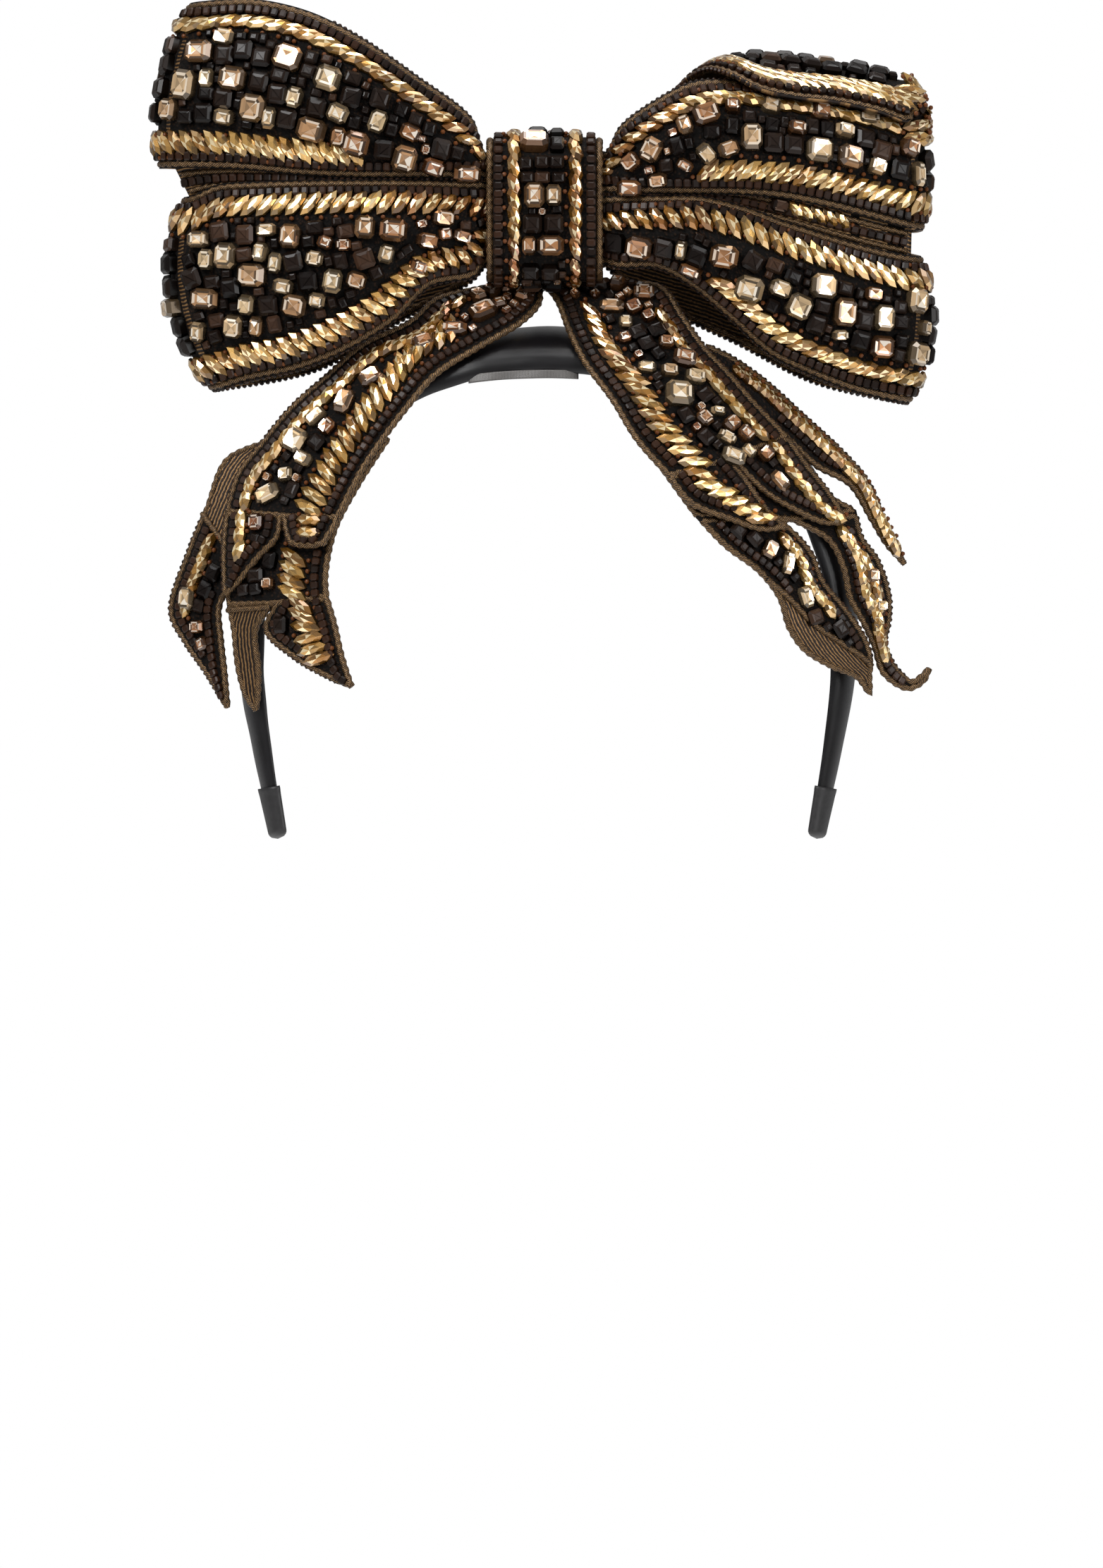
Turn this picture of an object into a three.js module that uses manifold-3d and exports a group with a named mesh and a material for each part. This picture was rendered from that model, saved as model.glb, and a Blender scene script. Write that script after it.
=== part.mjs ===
import * as THREE from "three";
import { mergeVertices } from "three/addons/utils/BufferGeometryUtils.js";
import Module from "manifold-3d";

// A headband that carries a large jewelled bow. Millimetres, +X to the right as the bow is looked at,
// +Y to the back of the head, +Z up. The origin is the middle of the crown's underside.

const ribbonThick = 2.0; // embroidered ribbon with its stiffener
const tailThick = 1.7; // the tails are cut from the same cloth, less stiffened
const pipingRadius = 0.95; // metallic cord along every edge of the ribbon
const gap = 0.3; // clearance between pieces that touch on the real thing

const palette = {
  satin: new THREE.MeshStandardMaterial({ color: 0x131112, roughness: 0.45, metalness: 0 }),
  tipCloth: new THREE.MeshStandardMaterial({ color: 0x0e0d0d, roughness: 0.6, metalness: 0 }),
  label: new THREE.MeshStandardMaterial({ color: 0x8d8f93, roughness: 0.4, metalness: 0.1 }),
  paved: new THREE.MeshStandardMaterial({ color: 0x8a6238, roughness: 0.3, metalness: 0.4 }),
  pavedDark: new THREE.MeshStandardMaterial({ color: 0x5a4028, roughness: 0.35, metalness: 0.4 }),
  piping: new THREE.MeshStandardMaterial({ color: 0x6b5137, roughness: 0.5, metalness: 0.6 }),
};

// Turns rows of values into objects whose fields carry the names of the columns.
function table(columns, rows) {
  const names = columns.split(" ");
  return rows.map((row) => Object.fromEntries(names.map((name, i) => [name, row[i]])));
}

function smoothLine(points) {
  return new THREE.CatmullRomCurve3(points, false, "centripetal");
}

function meshOf(name, geometry, material) {
  const mesh = new THREE.Mesh(geometry, material);
  mesh.name = name;
  return mesh;
}

function geometryOf(points, triangles) {
  const geometry = new THREE.BufferGeometry().setFromPoints(points);
  geometry.setIndex(triangles);
  return geometry;
}

function signedVolume(points, triangles) {
  let sum = 0;
  for (let i = 0; i < triangles.length; i += 3) {
    const [a, b, c] = [0, 1, 2].map((k) => points[triangles[i + k]]);
    sum += a.dot(new THREE.Vector3().crossVectors(b, c)) / 6;
  }
  return sum;
}

function facingOut(points, triangles) {
  if (signedVolume(points, triangles) > 0) return geometryOf(points, triangles);
  const turned = [];
  for (let i = 0; i < triangles.length; i += 3) {
    turned.push(triangles[i], triangles[i + 2], triangles[i + 1]);
  }
  return geometryOf(points, turned);
}

// ---- Solids from rings -------------------------------------------------------------------------

// Joins rings of equal length. A looped loft closes on its first ring; any other gets two flat ends.
function loft(rings, looped = false) {
  const points = rings.flat();
  const around = rings[0].length;
  const triangles = [];
  const spans = looped ? rings.length : rings.length - 1;
  for (let i = 0; i < spans; i++) {
    const here = i * around;
    const next = ((i + 1) % rings.length) * around;
    for (let j = 0; j < around; j++) {
      const k = (j + 1) % around;
      triangles.push(here + j, here + k, next + k, here + j, next + k, next + j);
    }
  }
  if (!looped) {
    const last = (rings.length - 1) * around;
    for (let j = 1; j < around - 1; j++) {
      triangles.push(0, j + 1, j, last, last + j, last + j + 1);
    }
  }
  return facingOut(points, triangles);
}

// ---- Ribbons: an open surface of rows, thickened to both sides -----------------------------------

class Cloth {
  constructor() {
    this.points = [];
    this.triangles = [];
  }
  place(point) {
    this.points.push(point);
    return this.points.length - 1;
  }
  // Joins two rows of point numbers.
  span(rowA, rowB) {
    for (let j = 0; j < rowA.length - 1; j++) {
      this.triangles.push(rowA[j], rowA[j + 1], rowB[j + 1], rowA[j], rowB[j + 1], rowB[j]);
    }
  }
  normals() {
    const sums = this.points.map(() => new THREE.Vector3());
    for (let i = 0; i < this.triangles.length; i += 3) {
      const [a, b, c] = this.triangles.slice(i, i + 3);
      const ab = new THREE.Vector3().subVectors(this.points[b], this.points[a]);
      const ac = new THREE.Vector3().subVectors(this.points[c], this.points[a]);
      const normal = ab.cross(ac);
      for (const k of [a, b, c]) sums[k].add(normal);
    }
    return sums.map((sum) => sum.normalize());
  }
  // The closed solid of this surface with half its thickness on each side.
  solid(thick) {
    const normals = this.normals();
    const count = this.points.length;
    const front = this.points.map((p, i) => p.clone().addScaledVector(normals[i], thick / 2));
    const back = this.points.map((p, i) => p.clone().addScaledVector(normals[i], -thick / 2));
    const triangles = [];
    const edges = new Set();
    for (let i = 0; i < this.triangles.length; i += 3) {
      const [a, b, c] = this.triangles.slice(i, i + 3);
      triangles.push(a, b, c, count + a, count + c, count + b);
      for (const [m, n] of [[a, b], [b, c], [c, a]]) edges.add(m + "," + n);
    }
    for (const edge of edges) {
      const [a, b] = edge.split(",").map(Number);
      if (!edges.has(b + "," + a)) triangles.push(b, a, count + a, b, count + a, count + b);
    }
    return facingOut([...front, ...back], triangles);
  }
}

// The stretch of ribbon between a low and a top edge. Its rows carry both edges and a bow, by which
// the middle of the row stands out from the straight line between them.
class Ribbon {
  constructor(rows) {
    this.low = smoothLine(rows.map((r) => new THREE.Vector3(r.lowX, r.lowY, r.lowZ)));
    this.top = smoothLine(rows.map((r) => new THREE.Vector3(r.topX, r.topY, r.topZ)));
    this.bow = smoothLine(rows.map((r) => new THREE.Vector3(r.bowX, r.bowY, r.bowZ ?? 0)));
  }
  // along runs from the first row to the last, across from the low edge to the top edge.
  at(along, across) {
    const low = this.low.getPoint(along);
    const top = this.top.getPoint(along);
    const rise = 4 * across * (1 - across);
    return low.lerp(top, across).addScaledVector(this.bow.getPoint(along), rise);
  }
  // The share of the row that lies within this many millimetres of an edge, measured square to it.
  share(along, side, inset) {
    const edge = side === 0 ? this.low : this.top;
    const row = new THREE.Vector3().subVectors(this.top.getPoint(along), this.low.getPoint(along));
    row.addScaledVector(this.bow.getPoint(along), side === 0 ? 4 : -4);
    const square = row.cross(edge.getTangent(along)).length();
    return inset / square;
  }
  // The point this many millimetres inside the low edge (side 0) or the top edge (side 1).
  inside(along, side, inset) {
    const share = this.share(along, side, inset);
    return this.at(along, side === 0 ? share : 1 - share);
  }
  // The cloth between the two pipings, or between the bare edges where inset is 0.
  cloth(steps, columns, inset) {
    const cloth = new Cloth();
    let before = null;
    for (let i = 0; i <= steps; i++) {
      const along = i / steps;
      const first = this.share(along, 0, inset);
      const last = 1 - this.share(along, 1, inset);
      const row = [];
      for (let j = 0; j <= columns; j++) {
        row.push(cloth.place(this.at(along, first + ((last - first) * j) / columns)));
      }
      if (before) cloth.span(before, row);
      before = row;
    }
    return cloth;
  }
}

const cordSides = 6;

function cordAlong(points, steps) {
  const section = new THREE.Shape().absarc(0, 0, pipingRadius, 0, 2 * Math.PI, false);
  return new THREE.ExtrudeGeometry(section, {
    steps,
    curveSegments: cordSides / 2,
    bevelEnabled: false,
    extrudePath: smoothLine(points),
  });
}

// ---- The loops of the bow --------------------------------------------------------------------------

// Each loop is one ribbon: out of the knot along the front, round the turned end and back behind.
// top and low are its upper and lower edge; a row is a station along the ribbon.
const ribbonColumns = "topX topY topZ lowX lowY lowZ bowX bowY bowZ";

const loops = {
  loop_upper_left: table(ribbonColumns, [
    [-8, -9.5, 54.5, -8, -12, 47.7, 0, 0, 0],
    [-16.6, -9.8, 54.6, -16, -12, 47.7, 0, 0, 0],
    [-20, -12, 63.3, -20, -13.5, 47.8, 0, -1.5, 0],
    [-34, -14, 74, -34, -15.5, 47.8, 0, -3, 0],
    [-49, -15, 84.3, -49, -16, 47.8, 0, -4, 0],
    [-62, -13.5, 91, -63, -15, 48.4, -1, -4, 0],
    [-77, -10, 94.6, -81, -12, 50.2, -2, -3, 0],
    [-90.5, -5.5, 94.3, -98.5, -5.5, 50.9, -3, -1, 0],
    [-93.3, -0.5, 94, -101.2, -0.5, 51, -3, 0, 0],
    [-90.5, 4.5, 93.6, -98.5, 4.5, 51.3, -3, 1, 0],
    [-68, 11, 92.4, -72, 11, 50.5, -1, 3, 0],
    [-44, 13, 80, -45, 13, 48.6, 0, 3, 0],
    [-20, 9, 62, -20, 9, 48, 0, 1, 0],
    [-15.8, 6, 54.5, -15.8, 8, 48, 0, 0, 0],
    [-8, 6, 54, -8, 8, 48, 0, 0, 0],
  ]),
  loop_lower_left: table(ribbonColumns, [
    [-8, -12, 46.8, -8, -9.8, 25.6, 0, 0, 0],
    [-15.8, -12, 46.8, -15.8, -9.8, 25.6, 0, 0, 0],
    [-20, -13.5, 46.9, -19.5, -11.5, 22, 0, -1.5, 0],
    [-32, -15.5, 47, -30.5, -13.5, 19.6, 0, -3, 0],
    [-46, -16, 47, -40, -15, 10.5, 0, -4, 0],
    [-60, -15.5, 47, -51.5, -15, 3.2, -1, -4, 0],
    [-75, -12.5, 46.8, -65, -13, -2.2, -2.5, -3.5, 0],
    [-86, -8.5, 46.2, -77, -9, -4.6, -5, -2, 0],
    [-92.3, -5.5, 43.6, -85, -5.5, -6.8, -6.5, -1, 0],
    [-94.8, -0.5, 43.3, -87.5, -0.5, -7, -6.5, 0, 0],
    [-92.3, 4.5, 43.3, -85, 4.5, -6.5, -6.5, 1, 0],
    [-68, 11, 45.8, -60, 11, -1, -2, 3, 0],
    [-44, 13, 46.5, -40, 13, 11, 0, 3, 0],
    [-20, 9, 46.8, -20, 9, 22, 0, 1, 0],
    [-15.8, 8, 46.8, -15.8, 6, 26, 0, 0, 0],
    [-8, 8, 46.8, -8, 6, 26, 0, 0, 0],
  ]),
  // The back of this one is turned forward over the top, so that its upper edge hangs in a wave
  // before the front: the bow lifts the ribbon's middle to the ridge that it turns over.
  loop_upper_right: table(ribbonColumns, [
    [7, -9.5, 54.5, 7, -12, 43.9, 0, 0, 0],
    [15.2, -9.8, 54.6, 14.8, -12, 43.9, 0, 0, 0],
    [19.5, -12, 61.4, 19, -13.5, 43.8, 0, -1.5, 0],
    [28, -14, 67.6, 29, -15.5, 43.6, 0, -3, 0],
    [38, -14, 72.6, 40, -16, 43.5, 0, -4, 0],
    [48, -11, 73.2, 50, -16.5, 43.3, 0, -4.5, 0],
    [60, -9, 71.4, 60, -16.5, 42.5, 0, -4.5, 0],
    [72, -7.5, 70.4, 70, -15, 40.7, 0, -3.5, 0],
    [84, -5, 69, 81, -11.5, 38.2, 0, -2, 0],
    [93.4, -2.5, 68, 95.3, -5.5, 34.8, 1, -1, 0],
    [97.1, 0.5, 72, 98, -0.5, 34.8, 1, 0, 0],
    [95.4, 4.5, 75.6, 95.3, 4.5, 34.5, 1, 1, 0],
    [92, -1.5, 75, 90, 6.5, 35.4, 0, 6, 9],
    [85.5, -9.5, 68.4, 83, 8, 36.8, 0, 9.5, 20],
    [76, -14.4, 67.2, 74, 9.5, 38.5, 0, 12, 23],
    [64, -17.2, 68.4, 64, 10.5, 40.5, 0, 13, 22],
    [55, -17.8, 70.6, 54, 11.5, 42.5, 0, 13, 20],
    [48, -15.5, 74.4, 46, 12, 43.4, 0, 12, 16],
    [41, -8, 76.4, 38, 12, 43.6, 0, 8, 8],
    [32, 2, 70.6, 29, 11, 43.8, 0, 3, 3],
    [21, 6.5, 60.6, 19, 9, 44, 0, 0, 0],
    [14.6, 6, 54, 14.6, 8, 44, 0, 0, 0],
    [7, 6, 54, 7, 8, 44, 0, 0, 0],
  ]),
  loop_lower_right: table(ribbonColumns, [
    [7, -12, 43.1, 7, -9.8, 25.6, 0, 0, 0],
    [14.6, -12, 43.1, 14.6, -9.8, 25.6, 0, 0, 0],
    [20, -13.5, 43.1, 19, -12, 24.4, 0, -1.5, 0],
    [29, -15.5, 42.9, 29, -14, 24.2, 0, -2.5, 0],
    [39, -16, 42.7, 38, -15, 19.2, 0, -3.5, 0],
    [50, -16, 40.4, 48, -15, 10.7, 0, -4, 0],
    [62, -15, 36.2, 58, -14, 1.8, 0, -4, 0],
    [75, -12, 32.3, 69, -12, -3.6, 0.5, -3.5, 0],
    [87, -8.5, 29.3, 81, -9, -8, 2, -2, 0],
    [95, -5.5, 27.8, 92, -5.5, -10.3, 3, -1, 0],
    [97.5, -0.5, 28, 94.5, -0.5, -10.3, 3, 0, 0],
    [95, 4.5, 29, 92, 4.5, -9.8, 3, 1, 0],
    [78, 9.5, 33.5, 70, 9, -4.5, 1, 2.5, 0],
    [58, 12, 39, 50, 12, 5.8, 0, 3, 0],
    [40, 12.5, 42.6, 38, 12.5, 11.5, 0, 3, 0],
    [20, 9, 43, 20, 9, 21.5, 0, 1, 0],
    [14.6, 8, 43, 14.6, 6, 26, 0, 0, 0],
    [7, 8, 43, 7, 6, 26, 0, 0, 0],
  ]),
};

// The lower border of that loop's back is turned in, and its free edge stands in the mouth between
// the two right loops. at is the station on the loop; free is the edge; bow carries the turn.
const turnedIn = table("at freeX freeY freeZ bowX bowY bowZ", [
  [0.615, 84, -1, 38, 0, -2, -4],
  [0.655, 74, -3.5, 40.5, 0, -3, -5],
  [0.7, 64, -5, 42.6, 0, -3, -5],
  [0.74, 54, -4, 44.6, 0, -2, -3],
]);

const turnedInRoot = 0.1; // how far up the back the turned border leaves it
const turnedInSteps = 9;
const loopSteps = 40;
const loopColumns = 5;
const pipingInset = 2 * pipingRadius + 2 * gap;
const pipingSteps = 36;
const pipingRun = 30; // points taken along a loop's edge for its piping

function cordPoints(ribbon, side) {
  const points = [];
  for (let i = 0; i <= pipingRun; i++) points.push(ribbon.inside(i / pipingRun, side, pipingRadius));
  return points;
}

const wasm = await Module();
wasm.setup();

function toManifold(geometry) {
  const bare = mergeVertices(geometry, 1e-4);
  return new wasm.Manifold(
    new wasm.Mesh({
      numProp: 3,
      vertProperties: bare.attributes.position.array,
      triVerts: new Uint32Array(bare.index.array),
    }),
  );
}

function fromManifold(solid) {
  const found = solid.getMesh();
  const geometry = new THREE.BufferGeometry();
  geometry.setAttribute("position", new THREE.BufferAttribute(found.vertProperties, 3));
  geometry.setIndex(new THREE.BufferAttribute(found.triVerts, 1));
  return geometry;
}

const bow = new THREE.Group();

for (const [name, rows] of Object.entries(loops)) {
  const ribbon = new Ribbon(rows);
  let geometry = ribbon.cloth(loopSteps, loopColumns, pipingInset).solid(ribbonThick);
  if (name === "loop_upper_right") {
    const border = turnedIn.map((r) => {
      const root = ribbon.at(r.at, turnedInRoot);
      return {
        lowX: root.x, lowY: root.y, lowZ: root.z,
        topX: r.freeX, topY: r.freeY, topZ: r.freeZ,
        bowX: r.bowX, bowY: r.bowY, bowZ: r.bowZ,
      };
    });
    const turned = new Ribbon(border).cloth(turnedInSteps, loopColumns, 0).solid(ribbonThick);
    geometry = fromManifold(toManifold(geometry).add(toManifold(turned)));
  }
  bow.add(meshOf(name, geometry, palette.paved));
  bow.add(meshOf(name + "_piping_top", cordAlong(cordPoints(ribbon, 1), pipingSteps), palette.piping));
  bow.add(meshOf(name + "_piping_low", cordAlong(cordPoints(ribbon, 0), pipingSteps), palette.piping));
}

// ---- The knot: one short ribbon round the gathered middle, with a piping round each edge ---------------

const knot = { left: -14.1, right: 12.7, front: -15.5, back: 12, low: 21, top: 58.8, wall: 2.2, round: 8 };
const knotSegments = 6; // to each rounded corner

function roundedPath(shape, grow) {
  const [a, b] = [knot.front + grow, knot.back - grow];
  const [c, d] = [knot.low + grow, knot.top - grow];
  const r = knot.round - grow;
  shape.moveTo(a + r, c);
  shape.absarc(b - r, c + r, r, -Math.PI / 2, 0, false);
  shape.absarc(b - r, d - r, r, 0, Math.PI / 2, false);
  shape.absarc(a + r, d - r, r, Math.PI / 2, Math.PI, false);
  shape.absarc(a + r, c + r, r, Math.PI, 1.5 * Math.PI, false);
  return shape;
}

const knotShape = roundedPath(new THREE.Shape(), 0);
knotShape.holes.push(roundedPath(new THREE.Path(), knot.wall));
const knotWrap = meshOf(
  "knot_wrap",
  new THREE.ExtrudeGeometry(knotShape, {
    depth: knot.right - knot.left,
    curveSegments: knotSegments,
    bevelEnabled: false,
  }),
  palette.pavedDark,
);
// The section is drawn with its first axis to the back and its second up, and runs along +X.
knotWrap.setRotationFromMatrix(
  new THREE.Matrix4().makeBasis(
    new THREE.Vector3(0, 1, 0),
    new THREE.Vector3(0, 0, 1),
    new THREE.Vector3(1, 0, 0),
  ),
);
knotWrap.position.x = knot.left;
bow.add(knotWrap);

const cordStations = 40; // points taken round the knot for each of its pipings

function cordRound(x) {
  const line = roundedPath(new THREE.Path(), knot.wall / 2).getSpacedPoints(cordStations).slice(0, -1);
  const rings = line.map((point, i) => {
    const next = line[(i + 1) % line.length];
    const last = line[(i + line.length - 1) % line.length];
    const run = new THREE.Vector2().subVectors(next, last).normalize();
    const ring = [];
    for (let k = 0; k < cordSides; k++) {
      const turn = (2 * Math.PI * k) / cordSides;
      const out = pipingRadius * Math.cos(turn);
      const side = pipingRadius * Math.sin(turn);
      ring.push(new THREE.Vector3(x + side, point.x + out * run.y, point.y - out * run.x));
    }
    return ring;
  });
  return loft(rings, true);
}

const pipingOff = pipingRadius + gap;
bow.add(meshOf("knot_piping_left", cordRound(knot.left - pipingOff), palette.piping));
bow.add(meshOf("knot_piping_right", cordRound(knot.right + pipingOff), palette.piping));

// ---- The tails ------------------------------------------------------------------------------------------

// A tail lies over the band's front edge and follows the side of a head downwards. Its depth
// grows with its distance inside a circle that runs a little outside the band.
const drape = { centreZ: -72, radius: 92, outerY: -7.05, slope: 0.56, farthest: -44 };

function drapeY(x, z) {
  const inwards = drape.radius - Math.hypot(x, z - drape.centreZ);
  return Math.max(drape.farthest, drape.outerY - drape.slope * inwards);
}

const layerStep = tailThick + 0.9; // from one layer of a tail to the next behind it

// inX inZ: the edge on the head's side; outX outZ: the outer edge; back: how far the row lies
// behind the drape, at its inner and outer edge.
const tailColumns = "inX inZ outX outZ backIn backOut";

const tails = {
  tail_left_front: {
    layer: 0,
    body: table(tailColumns, [
      [-1.5, 19.9, -17, 19.9, 5, 8],
      [-1.7, 15.5, -23, 18.6, 4, 5],
      [-6.5, 10, -29.6, 16.6, 2, 2],
      [-17, 3.6, -36, 10.7, 1.2, 0.6],
      [-28.9, -4.1, -48.3, 4.6, 0, 0],
      [-36.5, -13, -58, -3.8, 0, 0],
      [-42.5, -21, -67, -11.8, 0, 0],
      [-47.8, -29, -75, -21.5, 0, 0],
      [-51, -35, -80.8, -29, 0, 0],
      [-54, -41, -84, -39, 0, 0],
    ]),
    leaves: [
      table(tailColumns, [
        [-54, -41, -69, -40.2, 0, 0],
        [-55.3, -44, -68.2, -44.8, -0.5, -0.5],
        [-56.8, -46.4, -67, -47.6, -1, -1],
        [-57.4, -47.6, -62, -48.6, -1.5, -1.5],
      ]),
      table(tailColumns, [
        [-69, -40.2, -84, -39, 0, 0],
        [-70.1, -46.1, -84.7, -47, 0, 0],
        [-75, -51.4, -84.8, -53, 0, 0],
        [-79.6, -57, -84.6, -58, 0, 0],
        [-83.4, -60.8, -84.4, -61, 0, 0],
      ]),
    ],
  },
  tail_left_middle: {
    layer: 1,
    body: table(tailColumns, [
      [-41, -20.5, -63, -11.5, 0, 0],
      [-49, -33, -74, -24.5, 0, 0],
      [-54.9, -44.5, -81, -41, 0, 0],
      [-57.2, -56, -83.6, -55, 0, 0],
      [-57, -61.6, -83.6, -63.4, 0, 0],
    ]),
    leaves: [
      table(tailColumns, [
        [-57, -61.6, -73, -62.7, 0, 0],
        [-54.9, -68.6, -73.6, -70, 0, 0],
        [-53.1, -76.4, -66, -77.5, -1, -1],
        [-51.2, -82.5, -56.6, -82.9, -2, -2],
        [-50.3, -84.8, -50.9, -85.4, -3, -3],
      ]),
      table(tailColumns, [
        [-73, -62.7, -83.6, -63.4, 0, 0],
        [-75.6, -70, -82.3, -70, 0.5, 0.5],
        [-74.9, -80.3, -81.2, -80, 1, 1],
        [-75.2, -88, -79, -87.6, 1, 1],
        [-75.6, -90.8, -76.6, -91.2, 1, 1],
      ]),
    ],
  },
  tail_left_back: {
    layer: 2,
    body: table(tailColumns, [
      [-62, -16.5, -72.6, -20.4, 0, 0],
      [-70, -30, -84.2, -25, 0, 0],
      [-77, -43, -89.7, -38.3, 0, 0],
      [-81, -55, -94.5, -50, 0, 0],
      [-85.4, -64, -99, -65.2, 0, 0],
      [-85, -72, -95.1, -73.3, -1, 1],
      [-84, -81, -89.5, -81.3, -2, 0],
      [-83.3, -90, -84, -90.4, -3, -2],
    ]),
    leaves: [],
  },
  tail_right_front: {
    layer: 0,
    body: table(tailColumns, [
      [-0.4, 19.9, 17, 19.9, 5, 5],
      [2.5, 15.6, 30, 19.9, 4, 0],
      [5.5, 7.5, 35.6, 12, 2, 0],
      [9.6, -0.9, 41, 4, 1, 0],
      [16.5, -10.5, 47.5, -3, 0, 0],
      [22.9, -21.1, 53.5, -10, 0, 0],
      [31, -30.5, 62.5, -19.5, 0, 0],
    ]),
    leaves: [
      table(tailColumns, [
        [31, -30.5, 46.8, -25.2, 0, 0],
        [37, -37.8, 51.8, -31.2, 0, 0],
        [47.9, -42.2, 55.2, -36.2, -0.5, -0.5],
        [55.7, -44.6, 58.4, -40.2, -1, -1],
        [61.8, -43.9, 62.2, -43.3, -1.5, -1.5],
      ]),
      table(tailColumns, [
        [47.4, -24.8, 62.5, -19.5, 0, 0],
        [56.6, -34.8, 68.1, -27.4, 0, 0],
        [64.5, -39.4, 73.4, -34, 0, 0],
        [72, -42.5, 76.4, -38.6, -0.5, -0.5],
        [76.4, -42.6, 77.4, -41.6, -1, -1],
      ]),
    ],
  },
  tail_right_outer: {
    layer: 1,
    body: table(tailColumns, [
      [38, -1.5, 41.5, 4.6, 0, 0],
      [47, -7, 48.4, 1.2, 0, 0],
      [55, -13, 57.2, -5, 0, 0],
      [62.5, -20.5, 66.5, -13.4, 0, 0],
      [70, -27.5, 77.5, -23.5, 0, 0],
      [79, -32.4, 84, -31, 0, 0],
      [84.4, -41, 88, -40, 0.5, 0.5],
      [88.6, -47.8, 91, -46.8, 1, 1],
      [93.4, -53, 94, -52.6, 1, 1],
    ]),
    leaves: [],
  },
  tail_right_back: {
    layer: 1,
    body: table(tailColumns, [
      [25, -22, 50, -17.5, 0, 0],
      [31.5, -31.5, 63, -29, 0, 0],
      [38, -40.5, 80.6, -38.8, 0, 0],
    ]),
    leaves: [
      table(tailColumns, [
        [38, -40.5, 66.6, -41.5, 0, 0],
        [46, -48.8, 68.8, -50, 0, 0],
        [54, -54.6, 72, -57.5, 0, 0],
        [60, -62, 76.8, -63.4, -0.5, -0.5],
        [62.6, -70, 80.5, -68.2, -1, -1],
        [66.8, -75.8, 83.6, -73.6, -1, -1],
        [73.5, -79.8, 84.8, -78.6, -1, -1],
        [80.4, -82.6, 84.6, -82, -0.5, -0.5],
        [83.8, -86.8, 84.8, -87, 0, 0],
      ]),
      table(tailColumns, [
        [66.6, -41.5, 80.6, -38.8, 0, 0],
        [73.2, -47, 82.4, -46, 0, 0],
        [76.9, -54, 86.4, -51.5, 0, 0],
        [78.7, -62, 89.6, -61, 0, 0],
        [81.8, -67.6, 89.6, -67.6, 0, 0],
        [85, -74.2, 88.6, -73.4, 0.5, 0.5],
        [87.6, -81.6, 91.2, -79.6, 0, 0],
        [94.4, -85.8, 95.4, -83.2, -1.5, -1.5],
        [98.9, -83.6, 97.6, -82, -2.5, -2.5],
        [100.5, -80.2, 99.8, -79.8, -3, -3],
      ]),
    ],
  },
};

class TailStrip {
  constructor(rows, layer) {
    const edge = (x, z, back) =>
      smoothLine(rows.map((r) => new THREE.Vector3(r[x], layer * layerStep + r[back], r[z])));
    this.inner = edge("inX", "inZ", "backIn");
    this.outer = edge("outX", "outZ", "backOut");
  }
  at(along, across) {
    const point = this.inner.getPoint(along).lerp(this.outer.getPoint(along), across);
    point.y += drapeY(point.x, point.z);
    return point;
  }
}

const tailStepsPerRow = 2;
const tailColumnCount = 6;

function tailCloth(tail) {
  const cloth = new Cloth();
  const lay = (rows, columns, first) => {
    const strip = new TailStrip(rows, tail.layer);
    const steps = tailStepsPerRow * (rows.length - 1);
    let before = first;
    for (let i = first ? 1 : 0; i <= steps; i++) {
      const row = [];
      for (let j = 0; j <= columns; j++) row.push(cloth.place(strip.at(i / steps, j / columns)));
      if (before) cloth.span(before, row);
      before = row;
    }
    return before;
  };
  const last = lay(tail.body, tailColumnCount, null);
  const share = tailColumnCount / 2;
  tail.leaves.forEach((leaf, k) => lay(leaf, share, last.slice(k * share, k * share + share + 1)));
  return cloth;
}

const tailGroup = new THREE.Group();
for (const [name, tail] of Object.entries(tails)) {
  tailGroup.add(meshOf(name, tailCloth(tail).solid(tailThick), palette.paved));
}

// ---- The headband ------------------------------------------------------------------------------------------

// Stations of one half, from the crown to the tip: x and z of the underside's middle, the width
// front to back, the thickness, and the lean in degrees that sets the rear edge further out.
const bandHalf = table("x z width thick lean", [
  [0, 0, 30, 9.2, 15],
  [20, -2.2, 29.5, 9.0, 15],
  [38, -9.2, 28, 8.6, 15],
  [55, -22, 25.5, 8.0, 15],
  [67.5, -39, 22.5, 7.2, 14],
  [74.2, -59, 19.5, 6.4, 13],
  [75.4, -80, 17, 5.4, 12],
  [73.2, -100, 14.8, 4.2, 10],
  [69.6, -122.6, 12.4, 2.8, 8],
]);

const bandSteps = 26; // to each half
const bandArch = 9; // points across the rounded side
const bandEdge = 0.16; // height of the edge over the underside, as a share of the thickness
const bandInset = 0.08; // how far the flat underside stops short of each edge, as a share of the width
const bandCurve = smoothLine([
  ...bandHalf.slice(1).reverse().map((s) => new THREE.Vector3(-s.x, 0, s.z)),
  ...bandHalf.map((s) => new THREE.Vector3(s.x, 0, s.z)),
]);
const bandSize = smoothLine([
  ...bandHalf.slice(1).reverse().map((s) => new THREE.Vector3(s.width, s.thick, s.lean)),
  ...bandHalf.map((s) => new THREE.Vector3(s.width, s.thick, s.lean)),
]);

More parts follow.
